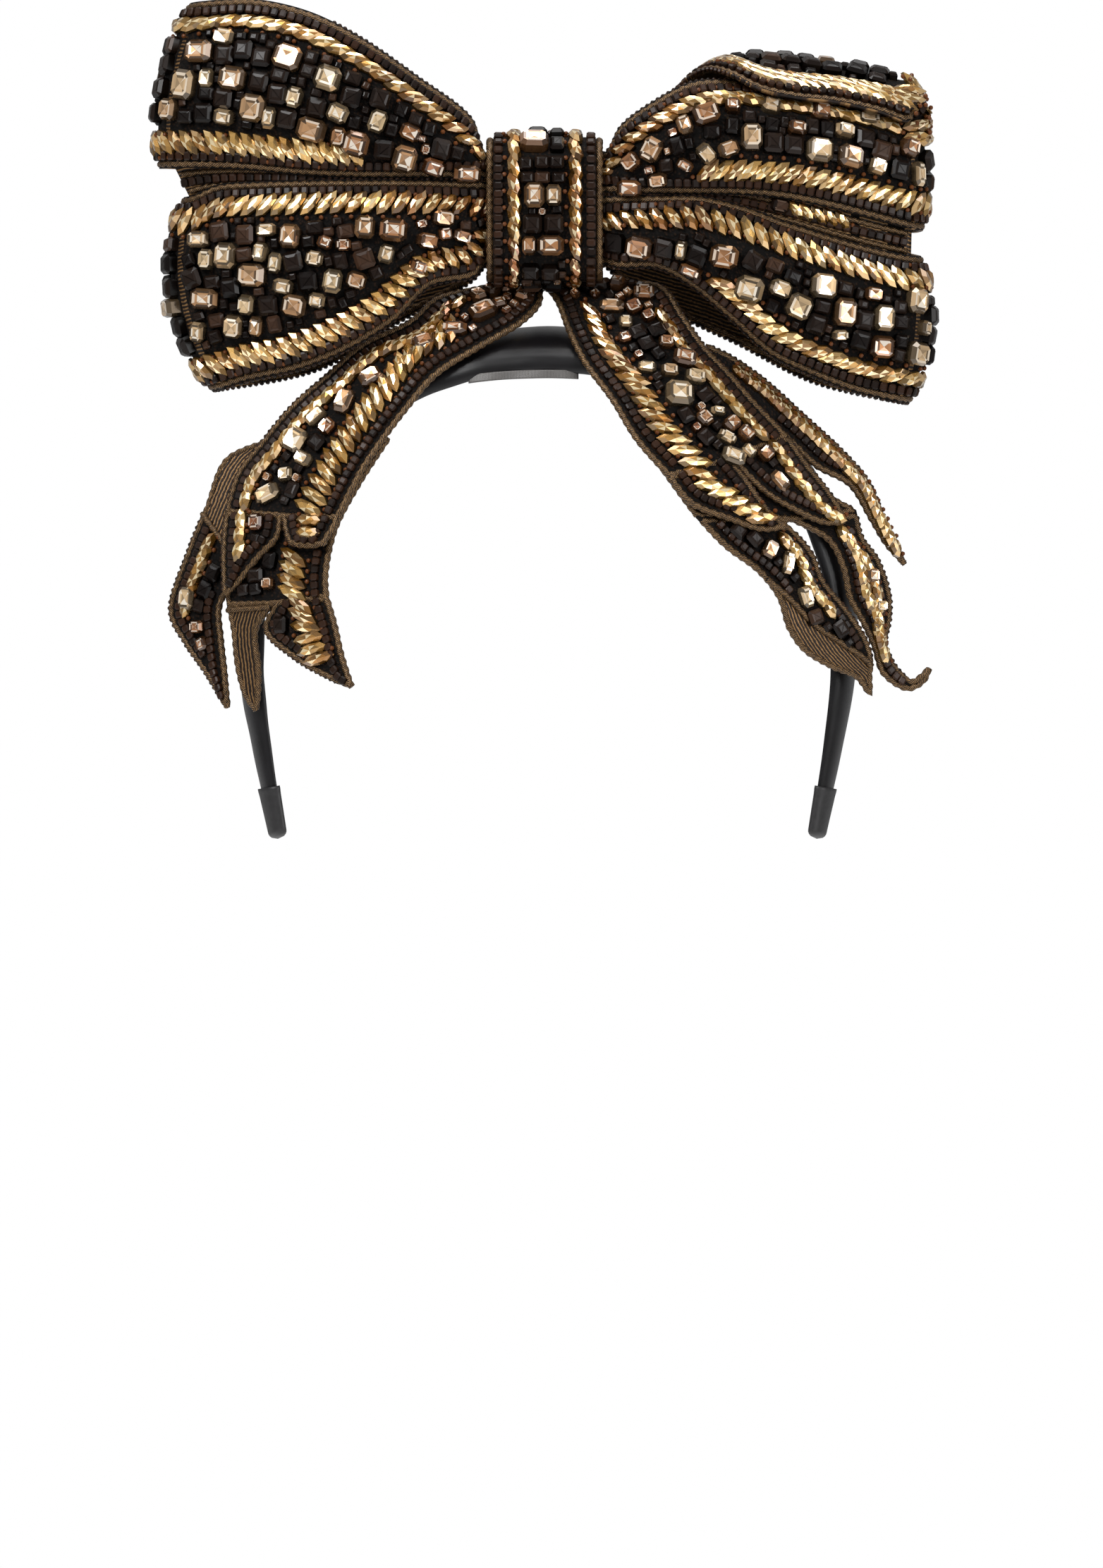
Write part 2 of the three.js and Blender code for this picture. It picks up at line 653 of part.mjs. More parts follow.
// The D section of the band at a place from 0 (left tip) to 1 (right tip), grown by some millimetres.
function bandSection(along, grow) {
  const middle = bandCurve.getPoint(along);
  const run = bandCurve.getTangent(along);
  const out = new THREE.Vector3(-run.z, 0, run.x);
  const size = bandSize.getPoint(along);
  const lean = THREE.MathUtils.degToRad(size.z);
  const across = new THREE.Vector3(0, Math.cos(lean), 0).addScaledVector(out, Math.sin(lean));
  const away = out.clone().multiplyScalar(Math.cos(lean)).add(new THREE.Vector3(0, -Math.sin(lean), 0));
  const half = size.x / 2;
  const edge = bandEdge * size.y;
  const ring = [];
  for (let i = 0; i < bandArch; i++) {
    const turn = (Math.PI * i) / (bandArch - 1);
    const y = -(half + grow) * Math.cos(turn);
    const height = edge + (size.y - edge + grow) * Math.sin(turn);
    ring.push(middle.clone().addScaledVector(across, y).addScaledVector(away, height));
  }
  const inset = bandInset * size.x;
  for (const y of [half - inset, -half + inset]) {
    ring.push(middle.clone().addScaledVector(across, y + Math.sign(y) * grow).addScaledVector(away, -grow));
  }
  return ring;
}

const headband = new THREE.Group();
const bandRings = [];
for (let i = 0; i <= 2 * bandSteps; i++) bandRings.push(bandSection(i / (2 * bandSteps), 0));
headband.add(meshOf("headband", loft(bandRings), palette.satin));

// A small cup glued over each end of the band.
const cupWall = 0.55;
const cupLength = 10.5; // how far it reaches up the band
const cupFloor = 1.2;
const cupRound = 0.6; // how far the closed end is drawn in
const bandLength = bandCurve.getLength();

function tipCup(atEnd) {
  const share = cupLength / bandLength;
  const alongs = [0, share * 0.5, share].map((s) => (atEnd ? 1 - s : s));
  const grown = (extra) => alongs.map((along) => bandSection(along, extra));
  const down = bandCurve.getTangent(atEnd ? 1 : 0).multiplyScalar(atEnd ? 1 : -1);
  const dropped = (ring, by) => ring.map((p) => p.clone().addScaledVector(down, by));
  const inner = grown(gap);
  const outer = grown(gap + cupWall);
  const rounded = bandSection(atEnd ? 1 : 0, -cupRound);
  return loft([
    dropped(inner[0], gap),
    ...inner,
    ...outer.reverse(),
    dropped(outer[2], gap + cupFloor / 2),
    dropped(rounded, gap + cupFloor),
  ]);
}

headband.add(meshOf("tip_cover_left", tipCup(false), palette.tipCloth));
headband.add(meshOf("tip_cover_right", tipCup(true), palette.tipCloth));

// The small bare tab at the front lower edge of the crown.
const label = { left: -20.5, right: 8.1, tall: 2.2, thick: 0.4, z: -3.4, y: -15.5, tilt: 12 };
const labelMesh = meshOf(
  "label",
  new THREE.BoxGeometry(label.right - label.left, label.thick, label.tall),
  palette.label,
);
labelMesh.position.set((label.left + label.right) / 2, label.y, label.z);
labelMesh.rotation.x = THREE.MathUtils.degToRad(label.tilt);
headband.add(labelMesh);

const diadem = new THREE.Group();
diadem.add(headband, bow, tailGroup);

export default diadem;
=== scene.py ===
import math
import random

import bmesh
import bpy
import numpy as np
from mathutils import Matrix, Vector


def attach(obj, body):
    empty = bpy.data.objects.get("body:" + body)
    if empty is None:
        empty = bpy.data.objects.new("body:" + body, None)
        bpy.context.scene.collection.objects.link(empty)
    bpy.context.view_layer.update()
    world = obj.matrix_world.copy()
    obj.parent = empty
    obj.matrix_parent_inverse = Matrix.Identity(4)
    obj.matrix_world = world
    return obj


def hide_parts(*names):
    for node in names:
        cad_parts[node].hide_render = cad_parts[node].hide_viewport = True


# ---- The frame -----------------------------------------------------------------------------------
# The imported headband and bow, at its real size. Sizes below are in millimetres; the scene is in
# metres, +X to the right as the bow is looked at, +Y to the back of the head, +Z up.

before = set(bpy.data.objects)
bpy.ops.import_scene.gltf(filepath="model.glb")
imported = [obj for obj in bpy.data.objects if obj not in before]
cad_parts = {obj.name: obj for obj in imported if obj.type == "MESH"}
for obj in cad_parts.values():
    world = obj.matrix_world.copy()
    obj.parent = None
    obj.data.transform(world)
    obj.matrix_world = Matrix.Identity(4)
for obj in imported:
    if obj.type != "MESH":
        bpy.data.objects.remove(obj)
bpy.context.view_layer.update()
MM = 0.001

# ---- The headband --------------------------------------------------------------------------------
# A rigid band, sprung to the width of a head: a plastic core under thin wadding, covered in black
# satin that is pulled round it on the bias and closed by a seam along the underside.

BAND_COLUMNS = "x z width thick lean"
BAND_HALF = [
    (0, 0, 30, 9.2, 15),
    (20, -2.2, 29.5, 9.0, 15),
    (38, -9.2, 28, 8.6, 15),
    (55, -22, 25.5, 8.0, 15),
    (67.5, -39, 22.5, 7.2, 14),
    (74.2, -59, 19.5, 6.4, 13),
    (75.4, -80, 17, 5.4, 12),
    (73.2, -100, 14.8, 4.2, 10),
    (69.6, -122.6, 12.4, 2.8, 8),
]
BAND_STEPS = 160
BAND_AROUND = 40
BAND_LENGTH = 330.0
BAND_ROUND = 80.0
BAND_EDGE = 0.16  # the height of the section's widest place, as a share of its thickness
BAND_DOME = 0.9
BAND_FLAT = 0.45
PULL_HEIGHT = 0.10
PULL_TURN = 0.42
PULL_SPREAD = 0.031
SATIN_SHEEN = "#4A4450"
SATIN_THREAD = 0.35  # the satin's own threads are a fifth of this, too fine to show


def table(columns, rows):
    """Rows of values as a dictionary of one array for each named column."""
    values = np.array(rows, dtype=float)
    return {name: values[:, i] for i, name in enumerate(columns.split())}


def smooth_line(stations, share):
    """Points at shares 0 to 1 of a smooth line through the stations, each span taking an equal part."""
    stations = np.asarray(stations, dtype=float)
    share = np.clip(np.asarray(share, dtype=float), 0, 1)
    first = 2 * stations[0] - stations[1]
    last = 2 * stations[-1] - stations[-2]
    line = np.vstack([first, stations, last])
    spans = len(stations) - 1
    at = np.minimum((share * spans).astype(int), spans - 1)
    step = (share * spans - at)[:, None]
    p0, p1, p2, p3 = (line[at + k] for k in range(4))
    d0, d1, d2 = (np.linalg.norm(b - a, axis=1)[:, None] ** 0.5 for a, b in ((p0, p1), (p1, p2), (p2, p3)))
    d1 = np.where(d1 < 1e-4, 1.0, d1)
    d0 = np.where(d0 < 1e-4, d1, d0)
    d2 = np.where(d2 < 1e-4, d1, d2)
    leave = ((p1 - p0) / d0 - (p2 - p0) / (d0 + d1) + (p2 - p1) / d1) * d1
    reach = ((p2 - p1) / d1 - (p3 - p1) / (d1 + d2) + (p3 - p2) / d2) * d1
    square = -3 * p1 + 3 * p2 - 2 * leave - reach
    cube = 2 * p1 - 2 * p2 + leave + reach
    return p1 + leave * step + square * step**2 + cube * step**3


def unit(vectors):
    return vectors / np.maximum(np.linalg.norm(vectors, axis=-1, keepdims=True), 1e-9)


def linear(colour):
    """A hex colour in sRGB as the four linear values that Blender takes."""
    channels = [int(colour[i : i + 2], 16) / 255 for i in (1, 3, 5)]
    return [c / 12.92 if c <= 0.04045 else ((c + 0.055) / 1.055) ** 2.4 for c in channels] + [1.0]


def new_material(name):
    """A material with only its Principled shader and output, and the shader's node."""
    material = bpy.data.materials.new(name)
    material.use_nodes = True
    return material, material.node_tree.nodes["Principled BSDF"]


def port(sockets, name):
    """The socket of that name that is in use, where a node has one for each type of data."""
    return next(socket for socket in sockets if socket.name == name and socket.enabled)


def add_node(material, kind, settings=None, links=None):
    """Adds a node, sets its fields and its unlinked sockets, and links the named sockets."""
    node = material.node_tree.nodes.new(kind)
    for field, value in (settings or {}).items():
        if hasattr(node, field) and field not in node.inputs:
            setattr(node, field, value)
        else:
            port(node.inputs, field).default_value = value
    for socket, source in (links or {}).items():
        material.node_tree.links.new(source, port(node.inputs, socket))
    return node


def join(material, source, node, socket):
    material.node_tree.links.new(source, node.inputs[socket])


def ramp(material, source, stops):
    """A colour ramp over (position, hex colour) stops."""
    node = add_node(material, "ShaderNodeValToRGB", links={"Fac": source})
    elements = node.color_ramp.elements
    while len(elements) < len(stops):
        elements.new(0.5)
    for element, (position, colour) in zip(elements, stops):
        element.position = position
        element.color = linear(colour)
    return node.outputs["Color"]


def texture(material, kind, settings, output="Fac"):
    """The output of a texture node that is laid out by the piece's own UV map, in millimetres."""
    coords = add_node(material, "ShaderNodeUVMap", {"uv_map": "UVMap"})
    node = add_node(material, "ShaderNodeTex" + kind, settings, {"Vector": coords.outputs["UV"]})
    return node.outputs[output]


def blend(material, share, first, second):
    """A mix of two values, share of it the second."""
    node = add_node(
        material, "ShaderNodeMix", {"data_type": "FLOAT", "Factor": share}, {"A": first, "B": second}
    )
    return node.outputs["Result"]


def set_inputs(shader, values):
    for name, value in values.items():
        shader.inputs[name].default_value = value


def colour_and_relief(material, shader, source, stops, height, strength, distance, invert=False):
    """Colours a material by a ramp over source, and raises it by height, the distance in metres."""
    join(material, ramp(material, source, stops), shader, "Base Color")
    fields = {"Strength": strength, "Distance": distance, "invert": invert}
    relief = add_node(material, "ShaderNodeBump", fields, {"Height": height})
    join(material, relief.outputs["Normal"], shader, "Normal")


def add_object(name, data):
    thing = bpy.data.objects.new(name, data)
    bpy.context.scene.collection.objects.link(thing)
    return thing


def add_wall(piece, name, thick, offset):
    """Gives a sheet its thickness, inwards with offset -1 and to both sides with 0."""
    wall = piece.modifiers.new(name, "SOLIDIFY")
    wall.thickness = thick * MM
    wall.offset = offset
    return wall


def finish_piece(bm, name, materials):
    """Makes a smooth-shaded object of a bmesh in millimetres, and rides it on the body."""
    bmesh.ops.scale(bm, vec=(MM, MM, MM), verts=bm.verts)
    mesh = bpy.data.meshes.new(name)
    bm.to_mesh(mesh)
    bm.free()
    for material in materials:
        mesh.materials.append(material)
    for polygon in mesh.polygons:
        polygon.use_smooth = True
    piece = add_object(name, mesh)
    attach(piece, "root")
    return piece


def laid_grid(steps, columns, place, around=False):
    """A bmesh grid laid on place(u, v), with its UV in the units that place returns beside the points."""
    bm = bmesh.new()
    bmesh.ops.create_grid(bm, x_segments=steps, y_segments=columns, size=0.5)
    bm.verts.index_update()
    shares = np.array([v.co[:2] for v in bm.verts])
    shares = (shares - shares.min(0)) / (shares.max(0) - shares.min(0))
    points, lengths = place(shares[:, 0], shares[:, 1])
    uv = bm.loops.layers.uv.new("UVMap")
    for vert, point in zip(bm.verts, points):
        vert.co = point
    for face in bm.faces:
        for loop in face.loops:
            loop[uv].uv = lengths[loop.vert.index]
    if around:
        bmesh.ops.remove_doubles(bm, verts=bm.verts, dist=1e-4)
    return bm


band_rows = table(BAND_COLUMNS, BAND_HALF)
band_path = np.stack([band_rows["x"], np.zeros(len(BAND_HALF)), band_rows["z"]], 1)
band_path = np.vstack([band_path[:0:-1] * (-1, 1, 1), band_path])
band_sizes = np.stack([band_rows["width"], band_rows["thick"], band_rows["lean"]], 1)
band_sizes = np.vstack([band_sizes[:0:-1], band_sizes])


def band_frame(share):
    """The band's underside middle, its directions across and away from the head, and its sizes."""
    share = np.asarray(share, dtype=float)
    middle = smooth_line(band_path, share)
    ahead = smooth_line(band_path, np.minimum(share + 0.002, 1))
    behind = smooth_line(band_path, np.maximum(share - 0.002, 0))
    run = unit(ahead - behind)
    out = np.stack([-run[:, 2], np.zeros(len(share)), run[:, 0]], 1)
    width, thick, lean = smooth_line(band_sizes, share).T
    lean = np.radians(lean)[:, None]
    back = np.array([0.0, 1.0, 0.0])
    across = np.cos(lean) * back + np.sin(lean) * out
    away = np.cos(lean) * out - np.sin(lean) * back
    return middle, across, away, width, thick


def band_skin(share, turn, grow=0.0):
    """Points on the band's skin. turn runs round the section from 0 to 1, from the rear edge over the top."""
    middle, across, away, width, thick = band_frame(share)
    angle = 2 * math.pi * turn
    side = np.cos(angle) * (width / 2 + grow)
    top = np.sin(angle)
    edge = BAND_EDGE * thick
    dome = edge + (thick - edge + grow) * np.abs(top) ** BAND_DOME
    under = edge - (edge + grow) * np.abs(top) ** BAND_FLAT
    height = np.where(top >= 0, dome, under)
    return middle + across * side[:, None] + away * height[:, None]


def place_band(u, v):
    length = BAND_LENGTH * u
    # The satin is drawn tight, with faint diagonal pulls that come and go along the band.
    pull = PULL_HEIGHT * np.sin(length * PULL_TURN + 2 * math.pi * v) * np.sin(length * PULL_SPREAD) ** 2
    points = band_skin(u, v) + band_frame(u)[2] * pull[:, None]
    return points, np.stack([length, v * BAND_ROUND], 1)


band_satin, shader = new_material("black polyester satin, woven and stretched over the band")
# Satin floats lie along the band, so its gloss is soft and broad and the folds catch it.
threads = texture(
    band_satin,
    "Wave",
    {"bands_direction": "Y", "Scale": 1 / (2 * SATIN_THREAD), "Distortion": 0.8, "Detail": 1.0},
)
mottle = texture(band_satin, "Noise", {"Scale": 0.12, "Detail": 4.0})
blacks = [(0.3, "#080708"), (0.7, "#100F11")]
colour_and_relief(band_satin, shader, mottle, blacks, threads, 0.12, 0.0001)
gloss = add_node(
    band_satin,
    "ShaderNodeMapRange",
    {"From Min": 0.0, "From Max": 1.0, "To Min": 0.24, "To Max": 0.34},
    {"Value": mottle},
)
join(band_satin, gloss.outputs["Result"], shader, "Roughness")
sheen = {"Sheen Weight": 0.06, "Sheen Roughness": 0.4, "Sheen Tint": linear(SATIN_SHEEN)}
set_inputs(shader, {"Specular IOR Level": 0.3, **sheen})

bm = laid_grid(BAND_STEPS, BAND_AROUND, place_band, around=True)
bmesh.ops.holes_fill(bm, edges=[e for e in bm.edges if e.is_boundary], sides=0)
bmesh.ops.recalc_face_normals(bm, faces=bm.faces)
band = finish_piece(bm, "headband_satin", [band_satin])
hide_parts("headband")

# The seam of the cover: its two turned edges meet along the middle of the underside and are
# ladder-stitched with the same black thread.

SEAM_STEPS = 150
SEAM_LENGTH = 320.0
SEAM_WIDTH = 3.0
SEAM_SWELL = 0.35
SEAM_GROOVE = 0.12
STITCH_SWELL = 0.04
STITCH_TURN = 700


def place_seam(u, v):
    middle, across, away = band_frame(0.03 + 0.94 * u)[:3]
    side = (v - 0.5) * SEAM_WIDTH
    swell = SEAM_SWELL * np.cos((v - 0.5) * math.pi) ** 2 - SEAM_GROOVE * np.cos(2 * math.pi * v * 2)
    swell = swell + STITCH_SWELL * np.sin(u * STITCH_TURN)
    points = middle + across * side[:, None] - away * swell[:, None]
    return points, np.stack([u * SEAM_LENGTH, side], 1)


bm = laid_grid(SEAM_STEPS, 10, place_seam)
bmesh.ops.reverse_faces(bm, faces=bm.faces)
seam = finish_piece(bm, "headband_underside_seam", [band_satin])
add_wall(seam, "turned edge", 0.3, -1)

# A cup of the same satin is glued over each end of the band, so that no core shows.

CUP_LENGTH = 10.5
CUP_WALL = 0.85
CUP_SLEEVE = 0.8  # the share of its length that lies on the band, before it closes
CUP_LIP = 0.25
CUP_END = 2.0

cup_cloth, shader = new_material("black satin cup, cut and glued over the end of the band")
# The glue stiffens the cloth and takes most of its gloss.
coords = add_node(cup_cloth, "ShaderNodeTexCoord")
mottle = add_node(
    cup_cloth, "ShaderNodeTexNoise", {"Scale": 900.0, "Detail": 3.0}, {"Vector": coords.outputs["Object"]}
)
mottle = mottle.outputs["Fac"]
blacks = [(0.35, "#080708"), (0.7, "#151315")]
colour_and_relief(cup_cloth, shader, mottle, blacks, mottle, 0.3, 0.0002)
set_inputs(shader, {"Roughness": 0.5})

for side, end in (("left", 0.0), ("right", 1.0)):

    def place_cup(u, v):
        """u runs from the mouth of the cup down to its closed end."""
        reach = np.clip(u / CUP_SLEEVE, 0, 1)
        share = abs(end - (1 - reach) * CUP_LENGTH / BAND_LENGTH)
        lip = CUP_LIP * np.exp(-(((u - 0.05) / 0.05) ** 2))
        closing = np.clip((u - CUP_SLEEVE) / 0.2, 0, 1)
        skin = band_skin(share, v, CUP_WALL)
        middle, across, away, _, thick = band_frame(share)
        centre = middle + away * (thick / 2)[:, None]
        run = np.cross(across, away) * (1 if end else -1)
        draw = np.sqrt(np.maximum(1 - closing**2, 0.0))[:, None] * (1 + lip[:, None] * 0.1)
        points = centre + (skin - centre) * draw + run * (closing * CUP_END)[:, None]
        return points, np.stack([u * 12, v * 40], 1)

    bm = laid_grid(20, BAND_AROUND, place_cup, around=True)
    bmesh.ops.recalc_face_normals(bm, faces=bm.faces)
    cup = finish_piece(bm, "tip_cover_" + side + "_cloth", [cup_cloth])
    add_wall(cup, "cloth", 0.4, -1)
    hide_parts("tip_cover_" + side)

# The small woven tab at the front lower edge of the crown, folded under and caught down at its ends.
# It is left bare.

LABEL = {"left": -20.5, "right": 8.1, "tall": 2.2, "z": -3.5, "y": -15.25}
label_cloth, shader = new_material("silver-grey rayon tab, satin-woven, with painted shade")
# Its rayon floats run upright; the ramp over them paints lighter stripes, a painted sheen. Its greys
# are darker than the silver-grey tab, painted shade of the bow above it.
threads = texture(
    label_cloth, "Wave", {"bands_direction": "X", "Scale": 0.9, "Distortion": 1.2, "Detail": 2.0}
)
shaded_label_greys = [(0.2, "#363432"), (0.8, "#575452")]
colour_and_relief(label_cloth, shader, threads, shaded_label_greys, threads, 0.3, 0.0001)
set_inputs(shader, {"Roughness": 0.42, "Sheen Weight": 0.1})

LABEL_CURL = 1.1  # how far its two ends bend back


def place_label(u, v):
    width = LABEL["right"] - LABEL["left"]
    x = LABEL["left"] + width * u
    drop = smooth_line(band_path, 0.5 + x / BAND_LENGTH)[:, 2]
    curl = LABEL_CURL * (2 * np.abs(u - 0.5)) ** 6
    y = LABEL["y"] + curl + 0.25 * np.sin(u * 15) * (v - 0.4) + 0.4 * (v - 0.5)
    z = LABEL["z"] + drop * 0.6 + (v - 0.5) * LABEL["tall"]
    return np.stack([x, y, z], 1), np.stack([u * width, v * LABEL["tall"]], 1)


bm = laid_grid(48, 6, place_label)
label = finish_piece(bm, "label_tab", [label_cloth])
add_wall(label, "cloth", 0.3, 0)
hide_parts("label")

# ---- The loops: cloth ----------------------------------------------------------------------------
# Four loops of wide ribbon, gathered into the knot. The ribbon is a stiffened dark net ground, closely
# worked on its face, with a bronze lame lining on its reverse that shows at the ends and inside.

LOOP_COLUMNS = "topX topY topZ lowX lowY lowZ bowX bowY bowZ"
LOOPS = {
    "loop_upper_left": [
        (-8, -9.5, 54.5, -8, -12, 47.7, 0, 0, 0),
        (-16.6, -9.8, 54.6, -16, -12, 47.7, 0, 0, 0),
        (-20, -12, 63.3, -20, -13.5, 47.8, 0, -1.5, 0),
        (-34, -14, 74, -34, -15.5, 47.8, 0, -3, 0),
        (-49, -15, 84.3, -49, -16, 47.8, 0, -4, 0),
        (-62, -13.5, 91, -63, -15, 48.4, -1, -4, 0),
        (-77, -10, 94.6, -81, -12, 50.2, -2, -3, 0),
        (-90.5, -5.5, 94.3, -98.5, -5.5, 50.9, -3, -1, 0),
        (-93.3, -0.5, 94, -101.2, -0.5, 51, -3, 0, 0),
        (-90.5, 4.5, 93.6, -98.5, 4.5, 51.3, -3, 1, 0),
        (-68, 11, 92.4, -72, 11, 50.5, -1, 3, 0),
        (-44, 13, 80, -45, 13, 48.6, 0, 3, 0),
        (-20, 9, 62, -20, 9, 48, 0, 1, 0),
        (-15.8, 6, 54.5, -15.8, 8, 48, 0, 0, 0),
        (-8, 6, 54, -8, 8, 48, 0, 0, 0),
    ],
    "loop_lower_left": [
        (-8, -12, 46.8, -8, -9.8, 25.6, 0, 0, 0),
        (-15.8, -12, 46.8, -15.8, -9.8, 25.6, 0, 0, 0),
        (-20, -13.5, 46.9, -19.5, -11.5, 22, 0, -1.5, 0),
        (-32, -15.5, 47, -30.5, -13.5, 19.6, 0, -3, 0),
        (-46, -16, 47, -40, -15, 10.5, 0, -4, 0),
        (-60, -15.5, 47, -51.5, -15, 3.2, -1, -4, 0),
        (-75, -12.5, 46.8, -65, -13, -2.2, -2.5, -3.5, 0),
        (-86, -8.5, 46.2, -77, -9, -4.6, -5, -2, 0),
        (-92.3, -5.5, 43.6, -85, -5.5, -6.8, -6.5, -1, 0),
        (-94.8, -0.5, 43.3, -87.5, -0.5, -7, -6.5, 0, 0),
        (-92.3, 4.5, 43.3, -85, 4.5, -6.5, -6.5, 1, 0),
        (-68, 11, 45.8, -60, 11, -1, -2, 3, 0),
        (-44, 13, 46.5, -40, 13, 11, 0, 3, 0),
        (-20, 9, 46.8, -20, 9, 22, 0, 1, 0),
        (-15.8, 8, 46.8, -15.8, 6, 26, 0, 0, 0),
        (-8, 8, 46.8, -8, 6, 26, 0, 0, 0),
    ],
    "loop_upper_right": [
        (7, -9.5, 54.5, 7, -12, 43.9, 0, 0, 0),
        (15.2, -9.8, 54.6, 14.8, -12, 43.9, 0, 0, 0),
        (19.5, -12, 61.4, 19, -13.5, 43.8, 0, -1.5, 0),
        (28, -14, 67.6, 29, -15.5, 43.6, 0, -3, 0),
        (38, -14, 72.6, 40, -16, 43.5, 0, -4, 0),
        (48, -11, 73.2, 50, -16.5, 43.3, 0, -4.5, 0),
        (60, -9, 71.4, 60, -16.5, 42.5, 0, -4.5, 0),
        (72, -7.5, 70.4, 70, -15, 40.7, 0, -3.5, 0),
        (84, -5, 69, 81, -11.5, 38.2, 0, -2, 0),
        (93.4, -2.5, 68, 95.3, -5.5, 34.8, 1, -1, 0),
        (97.1, 0.5, 72, 98, -0.5, 34.8, 1, 0, 0),
        (96.4, 2.5, 74.6, 96, 4.5, 34.5, 1, 1, 1),
        (94.6, -8.5, 62.8, 93, 5.8, 35, 0, 8, 23),
        (87, -12, 64.8, 85, 7, 36.4, 0, 10, 22.5),
        (76, -14.4, 67.2, 74, 9.5, 38.5, 0, 12, 22),
        (64, -17.2, 68.4, 64, 10.5, 40.5, 0, 13, 22),
        (55, -17.8, 70.6, 54, 11.5, 42.5, 0, 13, 20),
        (48, -15.5, 74.4, 46, 12, 43.4, 0, 12, 16),
        (41, -8, 76.4, 38, 12, 43.6, 0, 8, 8),
        (32, 2, 70.6, 29, 11, 43.8, 0, 3, 3),
        (21, 6.5, 60.6, 19, 9, 44, 0, 0, 0),
        (14.6, 6, 54, 14.6, 8, 44, 0, 0, 0),
        (7, 6, 54, 7, 8, 44, 0, 0, 0),
    ],
    "loop_lower_right": [
        (7, -12, 43.1, 7, -9.8, 25.6, 0, 0, 0),
        (14.6, -12, 43.1, 14.6, -9.8, 25.6, 0, 0, 0),
        (20, -13.5, 43.1, 19, -12, 24.4, 0, -1.5, 0),
        (29, -15.5, 42.9, 29, -14, 24.2, 0, -2.5, 0),
        (39, -16, 42.7, 38, -15, 19.2, 0, -3.5, 0),
        (50, -16, 40.4, 48, -15, 10.7, 0, -4, 0),
        (62, -15, 36.2, 58, -14, 1.8, 0, -4, 0),
        (75, -12, 32.3, 69, -12, -3.6, 0.5, -3.5, 0),
        (87, -8.5, 29.3, 81, -9, -8, 2, -2, 0),
        (95, -5.5, 27.8, 92, -5.5, -10.3, 3, -1, 0),
        (97.5, -0.5, 28, 94.5, -0.5, -10.3, 3, 0, 0),
        (95, 4.5, 29, 92, 4.5, -9.8, 3, 1, 0),
        (78, 9.5, 33.5, 70, 9, -4.5, 1, 2.5, 0),
        (58, 12, 39, 50, 12, 5.8, 0, 3, 0),
        (40, 12.5, 42.6, 38, 12.5, 11.5, 0, 3, 0),
        (20, 9, 43, 20, 9, 21.5, 0, 1, 0),
        (14.6, 8, 43, 14.6, 6, 26, 0, 0, 0),
        (7, 8, 43, 7, 6, 26, 0, 0, 0),
    ],
}
# The row of each table at which the turned end begins, where the lining shows as a narrow bare strip.
LOOP_END_ROW = {"loop_upper_left": 7, "loop_lower_left": 8, "loop_upper_right": 9, "loop_lower_right": 9}
LOOP_STEPS = 280
LOOP_COLUMNS_ACROSS = 28
CLOTH_THICK = 1.1
BARE_STRIP = 1.7
SMALL = 1e-3


def distances(line):
    """How far along a line of points each of them lies."""
    return np.concatenate([[0], np.cumsum(np.linalg.norm(np.diff(line, axis=0), axis=1))])


def make_ribbon(rows, end=1.0, surface=CLOTH_THICK / 2, drape=None):
    """A ribbon's two edges and its bow, with the length and width that the work on it is laid out by."""
    values = table(LOOP_COLUMNS, rows)
    ribbon = {"end": end, "surface": surface, "drape": drape, "outward": 1}
    for name in ("low", "top", "bow"):
        ribbon[name] = np.stack([values[name + axis] for axis in "XYZ"], 1)
    along = np.linspace(0, 1, 801)
    rungs = [ribbon_points(ribbon, along, np.full(801, share)) for share in np.linspace(0, 1, 13)]
    ribbon["along"] = along
    ribbon["length"] = distances(rungs[6])
    ribbon["width"] = sum(np.linalg.norm(b - a, axis=1) for a, b in zip(rungs, rungs[1:]))
    if ribbon_frame(ribbon, end * 0.4, 0.5)[2][0][1] > 0:
        ribbon["outward"] = -1
    return ribbon


def ribbon_points(ribbon, along, across):
    low, top, bow = (smooth_line(ribbon[name], along) for name in ("low", "top", "bow"))
    across = np.asarray(across)[:, None]
    points = low * (1 - across) + top * across + bow * 4 * across * (1 - across)
    if ribbon["drape"]:
        points[:, 1] += ribbon["drape"](points[:, 0], points[:, 2])
    return points


def ribbon_frame(ribbon, along, across):
    """Points on the ribbon, with the direction along it and the outward direction at each."""
    along, across = np.atleast_1d(along), np.atleast_1d(across)
    ahead = np.minimum(along + SMALL, 1)
    behind = np.maximum(along - SMALL, 0)
    run = unit(ribbon_points(ribbon, ahead, across) - ribbon_points(ribbon, behind, across))
    rise = unit(ribbon_points(ribbon, along, across + SMALL) - ribbon_points(ribbon, along, across - SMALL))
    out = unit(np.cross(rise, run)) * ribbon["outward"]
    return ribbon_points(ribbon, along, across), run, out


def frame_at(ribbon, along, across):
    """The point at one place on the ribbon, the direction along it and the outward direction."""
    return (value[0] for value in ribbon_frame(ribbon, along, across))


def length_at(ribbon, along):
    return np.interp(along, ribbon["along"], ribbon["length"])


def width_at(ribbon, along):
    return np.interp(along, ribbon["along"], ribbon["width"])


def share_at(ribbon, length):
    return np.interp(length, ribbon["length"], ribbon["along"])


